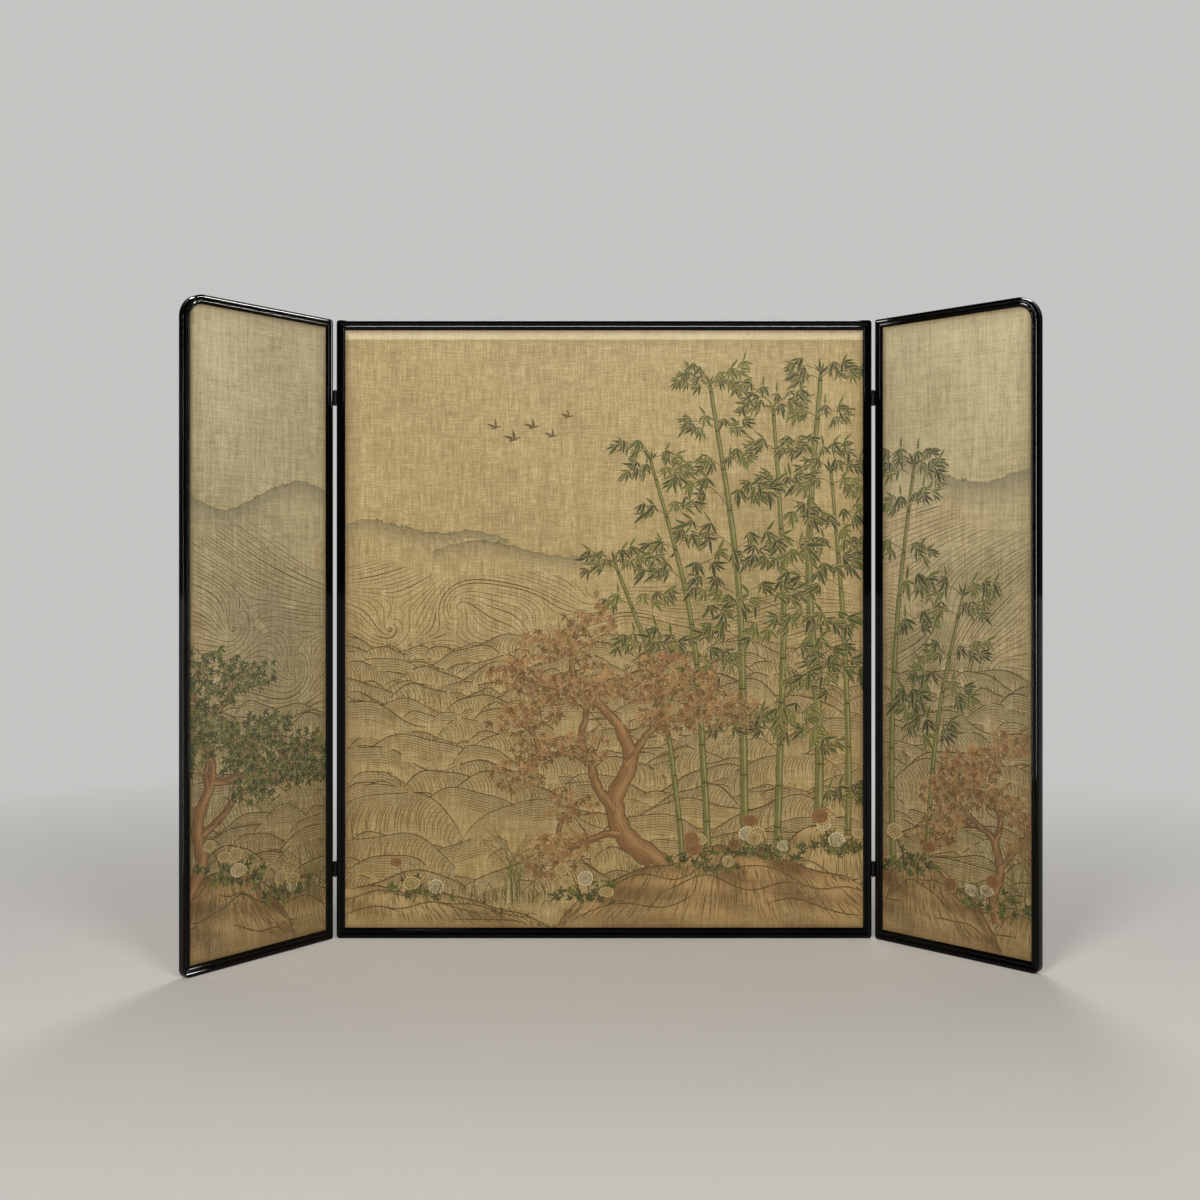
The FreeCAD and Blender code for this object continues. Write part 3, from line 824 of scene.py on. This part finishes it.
def tree(canvas, trunk, width, tip_width, boughs, colours, radius, count):
    """A crooked tree with clouds of leaves at the ends of its boughs.

    A bough is (place, angle, length, width, number of times it forks).
    """
    limbs, twigs, ends = [(trunk, width, tip_width)], [], []
    for start in boughs:
        bough(canvas.chance, limbs, twigs, ends, *start)
    canvas.new_pass()
    for place in ends[::2]:
        leaf_cluster(canvas, place, radius, count // 4, [toned(colour, 0.8) for colour in colours])
    canvas.new_pass()
    canvas.strokes(twigs, BARK_EDGE, 0.85, 0.9)
    bodies = [(limb_sides(*part), part[1]) for part in limbs]
    canvas.strokes([(side, 4.6) for sides, _ in bodies for side in sides], BARK_EDGE, 0.9, 0.05)
    canvas.new_pass()
    for sides, _ in bodies:
        limb(canvas, sides)
    canvas.new_pass()
    bark = []
    for sides in (sides for sides, width in bodies if width > 7):
        for share in (0.2, 0.36, 0.52, 0.72, 0.86):
            streak = [a + (b - a) * share for a, b in zip(*sides)]
            bark += [(streak[low : low + 5], 1.8) for low in range(round(share * 6), len(streak) - 4, 6)]
    canvas.strokes(bark, BARK_EDGE, 0.75)
    canvas.new_pass()
    for place in ends:
        leaf_cluster(canvas, place, radius, count, colours)


# A petal's corners: turn to the side, share of the way out, and tone
PETAL = (
    (0.0, 0.0, 0.45),
    (-0.8, 0.45, 0.6),
    (-0.86, 0.88, 0.85),
    (0.0, 1.0, 1.25),
    (0.86, 0.88, 1.05),
    (0.8, 0.45, 0.75),
)
# The rings of a flower: where its petals begin and end, how many there are, and tone
PETAL_RINGS = ((0.6, 1.06, 14, 1.0), (0.3, 0.64, 10, 0.86), (0.04, 0.34, 6, 0.7))


def flower(canvas, middle, size, colour):
    """A chrysanthemum from the front or a little from the side: rings of petals over a darker disc."""
    squash = canvas.chance.uniform(0.65, 0.95)
    disc = [middle + polar(size, index * math.tau / 20, squash) for index in range(20)]
    layer = canvas.shapes([disc], toned(colour, 0.3), 0.92, "ink")
    corners, faces = [], []
    for inner, outer, petals, tone in PETAL_RINGS:
        for index in range(petals):
            heading, half = math.tau * (index + inner) / petals, math.pi / petals
            grown = canvas.chance.uniform(0.84, 1.08)
            ring = []
            for turn, away, share in PETAL:
                reach = size * (inner + (outer - inner) * away * grown)
                place = canvas.held(middle + polar(reach, heading + turn * half, squash))
                ring.append((place, toned(colour, share * tone), 0.94))
            add_ring(corners, faces, ring)
    canvas.put("colours", corners, faces, over=layer)


def flower_bed(canvas, *clumps):
    """Clumps of chrysanthemums, each (place, count), on their stems over lobed leaves."""
    height = 100
    chance = canvas.chance
    canvas.new_pass()
    heads, stems = [], []
    for foot, count in clumps:
        for _ in range(count * 6):
            place = foot + complex(chance.triangular(-110, 110), height * chance.triangular(-0.05, 0.6, 0.1))
            turn = chance.uniform(0.1, math.pi - 0.1)
            lobed_leaf(canvas, place, turn, chance.uniform(14, 22), chance.choice(LEAF_GREENS))
        for _ in range(count):
            head = foot + complex(chance.gauss(0, 50), height * chance.uniform(0.25, 1.05))
            stem = curve([foot + (head - foot).real * 0.3, (foot + head) / 2 + 4j, head], 6)
            stems.append((stem, 2.4))
            heads.append((head, chance.uniform(15, 22), chance.choice(PETALS)))
    canvas.new_pass()
    canvas.strokes(stems, LEAF_EDGE, 0.9)
    canvas.new_pass()
    for head in heads:
        flower(canvas, *head)


def stalk(root, lean, tall, bow, steps):
    """A stem of grass that bows over as it rises."""
    return curve([root, root + complex(lean * bow, tall * 0.6), root + complex(lean, tall)], steps)


def grass(canvas, *banks):
    """Fine blades of grass along banks, each (place, half width, count)."""
    chance = canvas.chance
    tones = (LEAF_EDGE, SOFT_INK, MOSS)
    blades = [[] for _ in tones]
    for middle, width, count in banks:
        for index in range(count):
            root = middle + complex(chance.uniform(-width, width), chance.uniform(-14, 14))
            lean, tall = chance.uniform(-16, 16), chance.uniform(14, 42)
            blades[index % len(tones)].append((stalk(root, lean, tall, 0.3, 4), 2.0))
    for tone, lines in zip(tones, blades):
        canvas.strokes(lines, tone, 0.9, 0.8)


def plumes(canvas, middle, count, height):
    """Tall grasses that arch over, with feathery heads."""
    chance = canvas.chance
    stalks, awns = [], []
    for _ in range(count):
        lean = chance.uniform(-0.55, 0.55) * height
        tall = height * chance.uniform(0.5, 1.0)
        root = middle + complex(chance.gauss(0, 24), chance.uniform(-10, 10))
        path = stalk(root, lean, tall, 0.2, 8)
        stalks.append((path, 2.4))
        if chance.random() < 0.4:
            continue
        for side in (-1, 1):
            for place in path[10:]:
                drop = chance.uniform(12, 24)
                end = place + complex(side * drop * 0.5 + lean * 0.03, -drop * 0.5)
                awns.append(([place, (place + end) / 2 + 0.15j * drop, end], 2.6))
    canvas.new_pass()
    canvas.strokes(stalks, MOSS, 0.9, 0.6)
    canvas.strokes(awns, RUSSETS[3], 0.85)


def dots(canvas, spots, width, height, count):
    """Moss round some places, as dabs of ink that are thick in the middle and loose at the edge."""
    chance = canvas.chance
    dabs = []
    for spot in spots:
        for _ in range(count):
            place = spot + complex(chance.gauss(0, width / 2), chance.gauss(0, height / 2))
            wide = chance.uniform(1.6, 3.4)
            if canvas.on_silk(place):
                dab = [polar(wide, index * math.pi / 3, 0.7) for index in range(6)]
                dabs.append(turned(dab, place, chance.uniform(0, math.pi)))
    for first, tone in enumerate((LEAF_EDGE, INK, MOSS)):
        canvas.shapes(dabs[first::3], tone, 0.85, "ink")


def curls(chance, path):
    """Small scrolls of foam along a line."""
    size, steps = 6.5, 8
    scrolls, travelled = [], 0.0
    for here, there in zip(path, path[1:]):
        travelled += abs(there - here)
        if travelled < size * 1.3:
            continue
        travelled = 0.0
        middle = there + 1j * chance.uniform(0, size * 1.4)
        reach = size * chance.uniform(0.6, 1.2)
        start, sweep = chance.uniform(0, math.tau), chance.choice((-1, 1)) * chance.uniform(3.4, 5.4)
        scroll = []
        for step in range(steps + 1):
            scroll.append(middle + polar(reach * (1 - 0.07 * step), start + sweep * step / steps, 0.8))
        scrolls.append((scroll, 1.7))
    return scrolls


SPACING = 11.5  # of the water's flowing lines


def streamlines(canvas, low, crest, heading, swirls, width):
    """Flowing brush lines that keep their distance from each other and wind into the given swirls.

    They lie above low and below the height that crest gives across, and run as heading says. A swirl is
    (place, reach, strength).
    """
    chance = canvas.chance
    step = SPACING * 0.4
    taken = {}

    def cell(place):
        return int(place.real // SPACING), int(place.imag // SPACING)

    def direction(place):
        flow = polar(1, heading(place.real, place.imag))
        for middle, reach, strength in swirls:
            off = place - middle
            pull = strength * math.exp(-(off.real**2 + off.imag**2) / (reach * reach))
            flow += (1j - 0.6) * pull * off / (abs(off) or 1.0)
        return flow / (abs(flow) or 1.0)

    def open_for(line, place):
        """Whether a line may run here: on the silk, in its part and clear of other lines."""
        if not (low < place.imag < crest(place.real) and canvas.on_silk(place)):
            return False
        u, v = cell(place)
        near = ((u + du, v + dv) for du in (-1, 0, 1) for dv in (-1, 0, 1))
        others = (spot for around in near for spot, other in taken.get(around, ()) if other != line)
        return all(abs(place - spot) >= SPACING * 0.6 for spot in others)

    def trace(place, sign, line):
        path = []
        limit = chance.randint(14, 80)
        while len(path) < limit:
            place += sign * direction(place) * step
            if not open_for(line, place):
                break
            path.append(place)
        return path

    seeds = []
    for row in range(int(canvas.silk.height / SPACING / 1.1)):
        for column in range(int(canvas.silk.width / SPACING / 1.4)):
            jitter = complex(chance.uniform(0, SPACING), chance.uniform(0, SPACING))
            seeds.append(complex(column * SPACING * 1.4, row * SPACING * 1.1) + jitter)
    chance.shuffle(seeds)
    bold, plain = [], []
    for line, seed in enumerate(seeds):
        if not open_for(line, seed):
            continue
        path = [*trace(seed, -1, line)[::-1], seed, *trace(seed, 1, line)]
        if len(path) < 6:
            continue
        for place in path:
            taken.setdefault(cell(place), []).append((place, line))
        if chance.random() < 0.14:
            bold.append((path, width * 1.5))
        else:
            plain.append((path, width * chance.uniform(0.75, 1.1)))
    canvas.strokes(bold, INK, 0.9, 0.4)
    canvas.strokes(plain, SOFT_INK, 0.9, 0.4)


def wave(canvas, middle, length, height, side):
    """A wave that hides what is behind it, with a crest that runs up to one side, falling lines and foam."""
    chance = canvas.chance
    count = max(8, round(length / 8))
    tilt = chance.uniform(-0.12, 0.12) * length
    crest = []
    for share in (index / count for index in range(count + 1)):
        hump = max(0.0, math.sin(math.pi * share**1.5)) ** 0.8 + 0.07 * math.sin(share * 13 + middle.real)
        crest.append(middle + complex(side * length * (share - 0.5), height * hump + tilt * (share - 0.5)))
    crest = crest[::side]
    feet = [place.imag - height * 1.5 - 16 for place in crest]
    layer = canvas.field(crest, feet, GREY_WASH, (0.26, 0.12, 0.0, 0.0))
    edge = canvas.strokes([(crest, chance.uniform(2.2, 3.2))], INK, 0.95, 0.15, over=layer)
    lines = []
    if chance.random() < 0.55:
        steps = 6
        for index, place in enumerate(crest[1:-1], 1):
            swell = 0.35 + 0.65 * math.sin(math.pi * index / count)
            reach = (height * 1.15 + 12) * swell * chance.uniform(0.75, 1.1)
            angle = -math.pi / 2 - side * 0.85
            line = [place - 1.5j]
            for _ in range(steps):
                place += polar(reach / steps, angle)
                angle += side * 1.25 / steps
                line.append(place)
            lines.append((line, chance.uniform(1.4, 2.1)))
    else:
        for number in range(1, max(3, round(height / 6))):
            first = round(count * (0.05 * number + chance.uniform(0, 0.1)))
            last = round(count * (1 - 0.04 * number - chance.uniform(0, 0.14)))
            lines.append(([place - 6.5j * number for place in crest[first:last]], chance.uniform(1.3, 1.9)))
    if chance.random() < 0.55:
        lines += curls(chance, crest[count // 4 : count * 3 // 4])
    canvas.strokes(lines, SOFT_INK, 0.9, 0.3, over=edge)


def sea(canvas, high):
    """Rows of waves below a height, the farthest and smallest first."""
    low, margin, row_height = 60, 60, 36
    chance = canvas.chance
    canvas.new_pass()
    v = high
    while v > low:
        near = 0.5 + 0.5 * (high - v) / (high - low)
        u = chance.uniform(-60, 80)
        while u < canvas.silk.width + margin:
            length = chance.choice((110, 160, 220, 330, 430)) * chance.uniform(0.85, 1.15) * near
            side = 1 if math.sin(u / 210 + v / 130) + chance.uniform(-0.5, 0.5) > 0 else -1
            height = length * chance.uniform(0.12, 0.28)
            wave(canvas, complex(u, v + chance.uniform(-16, 16)), length, height, side)
            u += length * chance.uniform(0.5, 0.85)
        v -= row_height * near


def far_shore(canvas, depth, *places):
    """A distant wooded shore: a soft wash under a broken line, with dabs for its trees."""
    chance = canvas.chance
    crest = [p + 1j * (2.2 * math.sin(p.real / 6.1) + 1.6 * math.sin(p.real / 2.7)) for p in curve(places)]
    canvas.field(crest, [place.imag - depth for place in crest], GREY_WASH, (0.62, 0.34, 0.12, 0.0))
    canvas.new_pass()
    hatch = [(crest, 1.9)]
    for place in crest[6:-12:2]:
        drop = depth * chance.uniform(0.2, 0.5)
        hatch.append(([place - 3j, place + drop * (0.2 - 0.6j), place + drop * (0.6 - 1j)], 1.5))
    canvas.strokes(hatch, SOFT_INK, 0.8, 0.4)
    dots(canvas, [place for place in crest[8:-12:3] if chance.random() < 0.6], 12, 5, 5)


# The two wings and the body of a goose: where they start along it, turn, length and width
GOOSE = ((0.46, 2.3, 0.85, 0.24), (0.5, 1.25, 0.8, 0.2), (0.0, 0.0, 1.15, 0.17))


def geese(canvas, *flock):
    """Wild geese in flight, each (place, size), seen from the side and below."""
    for place, size in flock:
        angle = 0.3 + 0.01 * (size - 30)
        for start, turn, length, wide in GOOSE:
            outline = blade(size * length, size * wide, size * 0.16 * (turn > 0))
            wing = turned(outline, place + polar(start * size, angle), angle + turn)
            canvas.shapes([wing], BARK_EDGE, 0.8)


# The folds of a bank: share of its height, and where they start and end along it
FOLDS = ((0.84, 0.12, 0.46), (0.78, 0.5, 0.92), (0.6, 0.3, 0.72), (0.42, 0.06, 0.4), (0.36, 0.6, 0.9))
EARTH_COVERS = (0.9, 0.86, 0.8, 0.74, 0.66, 0.58, 0.5, 0.4, 0.3)


def mound(canvas, left, right, top, peak, tones):
    """A bank of earth that fades downwards, with a brushed outline, folds and strokes down its fall."""
    chance = canvas.chance
    wide = right - left
    columns = max(12, round(wide / 14))
    crest = []
    for share in (index / columns for index in range(columns + 1)):
        lean = share ** (math.log(0.5) / math.log(peak))
        hump = max(0.0, math.sin(math.pi * lean)) ** 0.7
        ripple = 0.06 * math.sin(share * 17 + left) + 0.04 * math.sin(share * 31 + right)
        crest.append(complex(left + wide * share, LIP + (top - LIP) * hump * (1 + ripple)))

    def earth(place):
        u, v = place.real, place.imag
        ripple = math.sin(u / 47 + v / 21 + 1.5 * math.sin(u / 83)) * math.sin(v / 26 - u / 140)
        share = min(1.0, max(0.0, 0.5 + 0.9 * ripple))
        return tuple(dark + (light - dark) * share for dark, light in zip(*tones))

    canvas.new_pass()
    canvas.field(crest, [LIP] * len(crest), earth, EARTH_COVERS, "colours")
    canvas.new_pass()
    smooth = curve(crest, 3)
    folds = [(crest, 3.6)]
    for height, start, end in FOLDS:
        vein = []
        for index, place in enumerate(smooth[round(len(smooth) * start) : round(len(smooth) * end)]):
            share = height + 0.09 * math.sin(index / 9 + left)
            vein.append(complex(place.real, LIP + (place.imag - LIP) * share))
        folds.append((vein, 3.0))
    canvas.strokes(folds, INK, 0.92, 0.12)
    falls = []
    for _ in range(round(wide / 2.4)):
        place = smooth[chance.randrange(2, len(smooth) - 2)]
        drop = (place.imag - LIP) * chance.uniform(0.1, 0.36)
        start = (place.imag - LIP) * chance.uniform(0.02, 0.64)
        bow = drop * 2.6 * (place.real - left - wide * peak) / wide
        path = [place + complex(bow * t**1.4, -start - drop * t) for t in (0, 0.25, 0.5, 0.75, 1)]
        falls.append((path, 2.0))
    for first, tone in enumerate((BARK_EDGE, INK, SOFT_INK)):
        canvas.strokes(falls[first::3], tone, 0.8, 0.5)
    spots = [smooth[chance.randrange(2, len(smooth) - 2)] - 3j for _ in range(round(wide / 60))]
    dots(canvas, spots, 34, 9, 22)


# The design


def washes(canvas, *stains):
    for stain in stains:
        canvas.wash(*stain)


def paint_centre(canvas):
    washes(
        canvas,
        (980 + 780j, 340, 420, MOSS, 0.2),
        (700 + 380j, 260, 190, RUSSETS[2], 0.16),
        (330 + 400j, 320, 150, GREY_WASH, 0.2),
        (240 + 700j, 240, 90, GREY_WASH, 0.16),
        (650 + 120j, 400, 90, MOSS, 0.2),
    )
    far_shore(canvas, 60, -20 + 1016j, 60 + 1040j, 150 + 1022j, 250 + 1004j, 330 + 1012j, 420 + 990j)
    far_shore(canvas, 46, 230 + 960j, 330 + 986j, 420 + 974j, 520 + 950j, 610 + 944j)
    swirls = (
        (120 + 760j, 70, 1.9),
        (300 + 820j, 80, -1.8),
        (500 + 740j, 80, 1.8),
        (720 + 700j, 80, -1.6),
        (640 + 850j, 60, 1.6),
    )

    def crest(u):
        return 925 - 0.06 * u + 14 * math.sin(u / 60)

    streamlines(canvas, 560, crest, lambda u, v: 0.3 * math.sin(u / 120 + v / 70), swirls, 1.9)
    sea(canvas, 700)
    flock = ((420 + 1236j, 34), (470 + 1268j, 30), (520 + 1246j, 28), (376 + 1268j, 28), (560 + 1296j, 25))
    geese(canvas, *flock)
    masses = (
        (1160 + 1270j, 190, 120),
        (930 + 1180j, 160, 110),
        (1230 + 1030j, 140, 130),
        (780 + 970j, 150, 110),
        (1030 + 920j, 150, 110),
        (1230 + 740j, 120, 110),
        (890 + 720j, 140, 90),
        (1080 + 570j, 130, 80),
    )
    grove = (
        (12, 866 + 60j, 850 + 300j, 800 + 620j, 690 + 930j),
        (15, 930 + 60j, 915 + 400j, 880 + 800j, 780 + 1190j),
        (19, 1020 + 60j, 1015 + 450j, 1000 + 900j, 930 + 1380j),
        (16, 1096 + 60j, 1106 + 420j, 1116 + 860j, 1090 + 1320j),
        (21, 1196 + 60j, 1206 + 480j, 1180 + 930j, 1210 + 1410j),
        (14, 1272 + 60j, 1280 + 400j, 1268 + 760j, 1236 + 1160j),
    )
    bamboo(canvas, grove, masses)
    mound(canvas, 900, 1700, 250, 0.45, SAND)
    mound(canvas, -90, 520, 110, 0.3, SAND)
    trunk = curve((850 + 96j, 800 + 170j, 716 + 240j, 690 + 330j, 730 + 430j, 700 + 520j))
    boughs = (
        (694 + 300j, 2.7, 190, 24, 2),
        (700 + 520j, 1.9, 150, 22, 2),
        (715 + 420j, 0.7, 150, 18, 2),
        (704 + 244j, 3.5, 150, 16, 1),
    )
    tree(canvas, trunk, 64, 26, boughs, RUSSETS, 56, 34)
    mound(canvas, 540, 1420, 200, 0.5, EARTH)
    flower_bed(canvas, (630 + 70j, 4), (930 + 150j, 5), (1070 + 180j, 5), (1240 + 190j, 5), (190 + 80j, 3))
    grass(canvas, (330 + 74j, 210, 110), (860 + 140j, 160, 70), (1130 + 200j, 180, 90))
    plumes(canvas, 440 + 60j, 16, 210)


def paint_right(canvas):
    washes(
        canvas,
        (150 + 620j, 170, 330, GREY_WASH, 0.42),
        (290 + 330j, 190, 190, MOSS, 0.34),
        (300 + 880j, 150, 120, GREY_WASH, 0.3),
    )
    far_shore(canvas, 80, -10 + 1150j, 80 + 1190j, 190 + 1140j, 300 + 1120j, 450 + 1160j)
    swirls = (
        (110 + 800j, 90, 1.9),
        (330 + 660j, 90, -2.0),
        (180 + 480j, 95, 1.8),
        (340 + 350j, 80, -1.8),
        (110 + 280j, 80, 1.7),
    )

    def crest(u):
        return 1080 - 0.15 * u + 30 * math.sin(u / 70)

    streamlines(canvas, 560, crest, lambda u, v: 0.5 + 0.3 * math.sin(v / 100), swirls, 2.0)
    sea(canvas, 640)
    grove = (
        (15, 44 + 40j, 34 + 420j, 52 + 800j, 100 + 1170j),
        (12, 126 + 40j, 142 + 300j, 170 + 560j, 236 + 850j),
    )
    masses = ((90 + 1060j, 130, 120), (210 + 780j, 120, 100), (60 + 860j, 100, 90), (130 + 560j, 100, 80))
    bamboo(canvas, grove, masses, 50)
    mound(canvas, 170, 700, 150, 0.5, SAND)
    mound(canvas, -120, 340, 200, 0.45, EARTH)
    trunk = curve((330 + 80j, 318 + 140j, 336 + 200j, 322 + 270j), 7)
    boughs = ((322 + 270j, 2.2, 120, 13, 2), (330 + 210j, 0.8, 100, 13, 2), (322 + 270j, 1.3, 120, 13, 2))
    tree(canvas, trunk, 26, 16, boughs, RUSSETS, 42, 20)
    flower_bed(canvas, (90 + 160j, 4), (300 + 100j, 4))
    grass(canvas, (210 + 130j, 190, 100))
    plumes(canvas, 390 + 90j, 10, 230)


def paint_left(canvas):
    washes(
        canvas,
        (250 + 760j, 190, 230, GREY_WASH, 0.36),
        (200 + 330j, 200, 200, MOSS, 0.34),
        (160 + 150j, 200, 110, RUSSETS[2], 0.3),
    )
    far_shore(canvas, 70, -10 + 1090j, 110 + 1050j, 230 + 1100j, 340 + 1130j, 450 + 1100j)
    swirls = (
        (110 + 560j, 90, -2.0),
        (310 + 660j, 90, 1.9),
        (230 + 390j, 95, -2.0),
        (80 + 260j, 80, 1.8),
        (340 + 220j, 90, 1.6),
        (130 + 770j, 80, 1.7),
    )

    def crest(u):
        return 970 + 60 * math.sin(u / 90)

    streamlines(canvas, 480, crest, lambda u, v: -0.2 + 0.3 * math.sin(v / 90), swirls, 2.0)
    sea(canvas, 560)
    mound(canvas, 120, 640, 150, 0.4, SAND)
    mound(canvas, -160, 320, 210, 0.5, EARTH)
    trunk = curve((-20 + 150j, 40 + 230j, 30 + 330j, 70 + 420j))
    boughs = (
        (70 + 420j, 1.2, 150, 18, 2),
        (40 + 300j, 0.5, 170, 17, 2),
        (70 + 420j, 0.3, 160, 16, 2),
        (60 + 400j, 2.0, 120, 12, 2),
    )
    tree(canvas, trunk, 40, 22, boughs, LEAF_GREENS, 50, 30)
    flower_bed(canvas, (120 + 170j, 5), (290 + 110j, 4))
    grass(canvas, (240 + 120j, 180, 100))
    plumes(canvas, 380 + 90j, 10, 220)


# Dressing the frame


def dress_frame():
    """Materials for the pieces that stay as they are."""
    finishes = {
        "black_lacquer": lacquer(),
        "hinge_metal": hinge_metal(),
        "nail_steel": nail_steel(),
        "bare_wood": bare_wood(),
        "lining_paper": lining_paper(),
    }
    slots = {entry["node"]: entry["material_slot"] for entry in frame["record"]["subparts"]}
    backs = {silk.name + "_back_paper": back_paper(silk) for silk in (CENTRE, LEFT, RIGHT)}
    for name, piece in frame["nodes"].items():
        finish = backs.get(name) or finishes.get(slots[name])
        if finish is None:
            continue
        if not piece.material_slots:
            piece.data.materials.append(finish)
        for place in piece.material_slots:
            place.material = finish


def lay_silk():
    """The cloth of each panel and the strip along the top, in place of their plain solids."""
    step, thickness = 11.0, 0.3
    for silk in (CENTRE, LEFT, RIGHT):
        material = silk_material(silk.name + "_silk", silk, silk.name)
        far_corner = complex(silk.width, silk.height)
        piece = cloth_piece(silk.name + "_silk_cloth", silk, 0j, far_corner, step, thickness, 0.0, material)
        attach(piece, silk.body)
        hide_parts(silk.node)
    strip_step, strip_thickness, strip_lift = 5.0, 0.12, 0.13
    low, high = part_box("centre_heading_silk")
    foot, head = 1j * (low.z - CENTRE.low) / MM, complex(CENTRE.width, (high.z - CENTRE.low) / MM)
    material = silk_material("heading_silk", CENTRE, "heading")
    sizes = (strip_step, strip_thickness, strip_lift)
    strip = cloth_piece("centre_heading_cloth", CENTRE, foot, head, *sizes, material)
    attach(strip, "centre_panel")
    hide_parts("centre_heading_silk")


# Studio

SURROUND = (0.56, 0.553, 0.54)


def floor_material():
    """A pale floor that takes shadows. Some way from the screen it gives way to the surroundings."""
    near, far = 1.1, 3.4
    s = Shader("floor")
    colour = s.mix(s.noise(s.place, 1.3, 3), (0.7, 0.685, 0.66), (0.68, 0.665, 0.64))
    s.finish(colour, 0.6, Specular_IOR_Level=0.0)
    away = s.node("VectorMath", (s.place,), operation="LENGTH").outputs["Value"]
    ray = s.node("LightPath").outputs
    mirrored = s.maths("MAXIMUM", ray["Is Glossy Ray"], ray["Is Transmission Ray"])
    seen = s.maths("MAXIMUM", ray["Is Camera Ray"], mirrored)
    share = s.maths("MULTIPLY", s.span(away, near, far), seen)
    glow = s.node("Emission", {"Color": SURROUND}).outputs[0]
    both = s.node("MixShader", (share, s.surface.outputs[0], glow)).outputs[0]
    s.fill(s.tree.nodes["Material Output"].inputs["Surface"], both)
    return s.block


def surroundings():
    """Pale all round to the camera. As light they are pale behind the screen and dim before it, where the
    lacquer mirrors them.
    """
    dim = 0.04
    s = Shader("studio", "worlds", "Background", "Generated")
    behind = s.span(s.node("SeparateXYZ", (s.place,)).outputs["Y"], 0.2, 0.75, dim)
    strength = s.maths("MAXIMUM", behind, s.node("LightPath").outputs["Is Camera Ray"])
    s.fill(s.surface.inputs["Color"], SURROUND)
    s.fill(s.surface.inputs["Strength"], strength)
    bpy.context.scene.world = s.block


def area_light(name, place, target, size, power, colour=(1, 1, 1), mirrored=False, spread=180):
    """A soft lamp that is itself not seen, or one that only draws its line on the lacquer."""
    lamp = bpy.data.lights.new(name, "AREA")
    lamp.shape = "RECTANGLE"
    lamp.size, lamp.size_y = size
    lamp.energy = power
    lamp.color = colour
    lamp.spread = math.radians(spread)
    holder = bpy.data.objects.new(name, lamp)
    holder.location = place
    holder.rotation_euler = (Vector(target) - Vector(place)).to_track_quat("-Z", "Y").to_euler()
    holder.visible_camera = False
    holder.visible_diffuse = not mirrored
    holder.visible_glossy = mirrored
    bpy.context.scene.collection.objects.link(holder)


def studio():
    """A pale floor and surroundings, soft lamps, and long ones that only draw lines on the lacquer."""
    reach = 60.0
    corners = [(-reach, -reach, 0), (reach, -reach, 0), (reach, reach, 0), (-reach, reach, 0)]
    add_piece("studio_floor", corners, [(0, 1, 2, 3)], floor_material())
    surroundings()
    middle = (0, 0, 0.8)
    area_light("key", (-1.7, -4.2, 3.3), middle, (1.4, 1.4), 130, (1, 0.97, 0.92))
    area_light("fill", (1.9, -4.2, 2.8), middle, (1.6, 1.6), 100, (1, 0.98, 0.95))
    area_light("back", (0.7, 4.2, 3.2), middle, (2.0, 2.0), 110, (1, 0.99, 0.97))
    area_light("top_line", (0, -0.9, 3.6), (0, 0, 1.5), (2.1, 0.3), 300, mirrored=True)
    rail = (-0.81, -0.19, 1.55)
    area_light("left_wing_line", (2.3, -0.05, 2.8), rail, (0.9, 0.14), 13, mirrored=True, spread=60)
    for side, name in ((-1, "left_line"), (1, "right_line")):
        stile = (-side * 0.95, -0.37, 1.15)
        area_light(name, (side * 1.9, -0.45, 1.15), stile, (0.1, 2.2), 7, mirrored=True, spread=60)
    bpy.context.scene.view_settings.view_transform = "Standard"


# The photograph's frame: 1200 pixels square, with its focal length, horizon and scale in those pixels
PHOTO_PX = 1200
FOCAL_PX = 1400.0
HORIZON_PX = 576.3
FLOOR_PX = 938.5
PX_PER_METRE = 396.5
SENSOR_MM = 36.0
CAMERA_ACROSS = -0.0103


def camera():
    low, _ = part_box("centre_bottom_rail")
    lens = bpy.data.cameras.new("camera")
    lens.sensor_width = SENSOR_MM
    lens.lens = FOCAL_PX / PHOTO_PX * SENSOR_MM
    lens.shift_y = (HORIZON_PX - PHOTO_PX / 2) / PHOTO_PX
    holder = bpy.data.objects.new("camera", lens)
    distance = FOCAL_PX / PX_PER_METRE
    height = (FLOOR_PX - HORIZON_PX) / PX_PER_METRE
    holder.location = (CAMERA_ACROSS, low.y - distance, height)
    holder.rotation_euler = (math.pi / 2, 0, 0)
    bpy.context.scene.collection.objects.link(holder)
    bpy.context.scene.camera = holder


dress_frame()
lay_silk()
for silk, seed, paint in ((CENTRE, 41, paint_centre), (LEFT, 97, paint_left), (RIGHT, 73, paint_right)):
    canvas = Canvas(silk, seed)
    paint(canvas)
    canvas.finish()
studio()
camera()
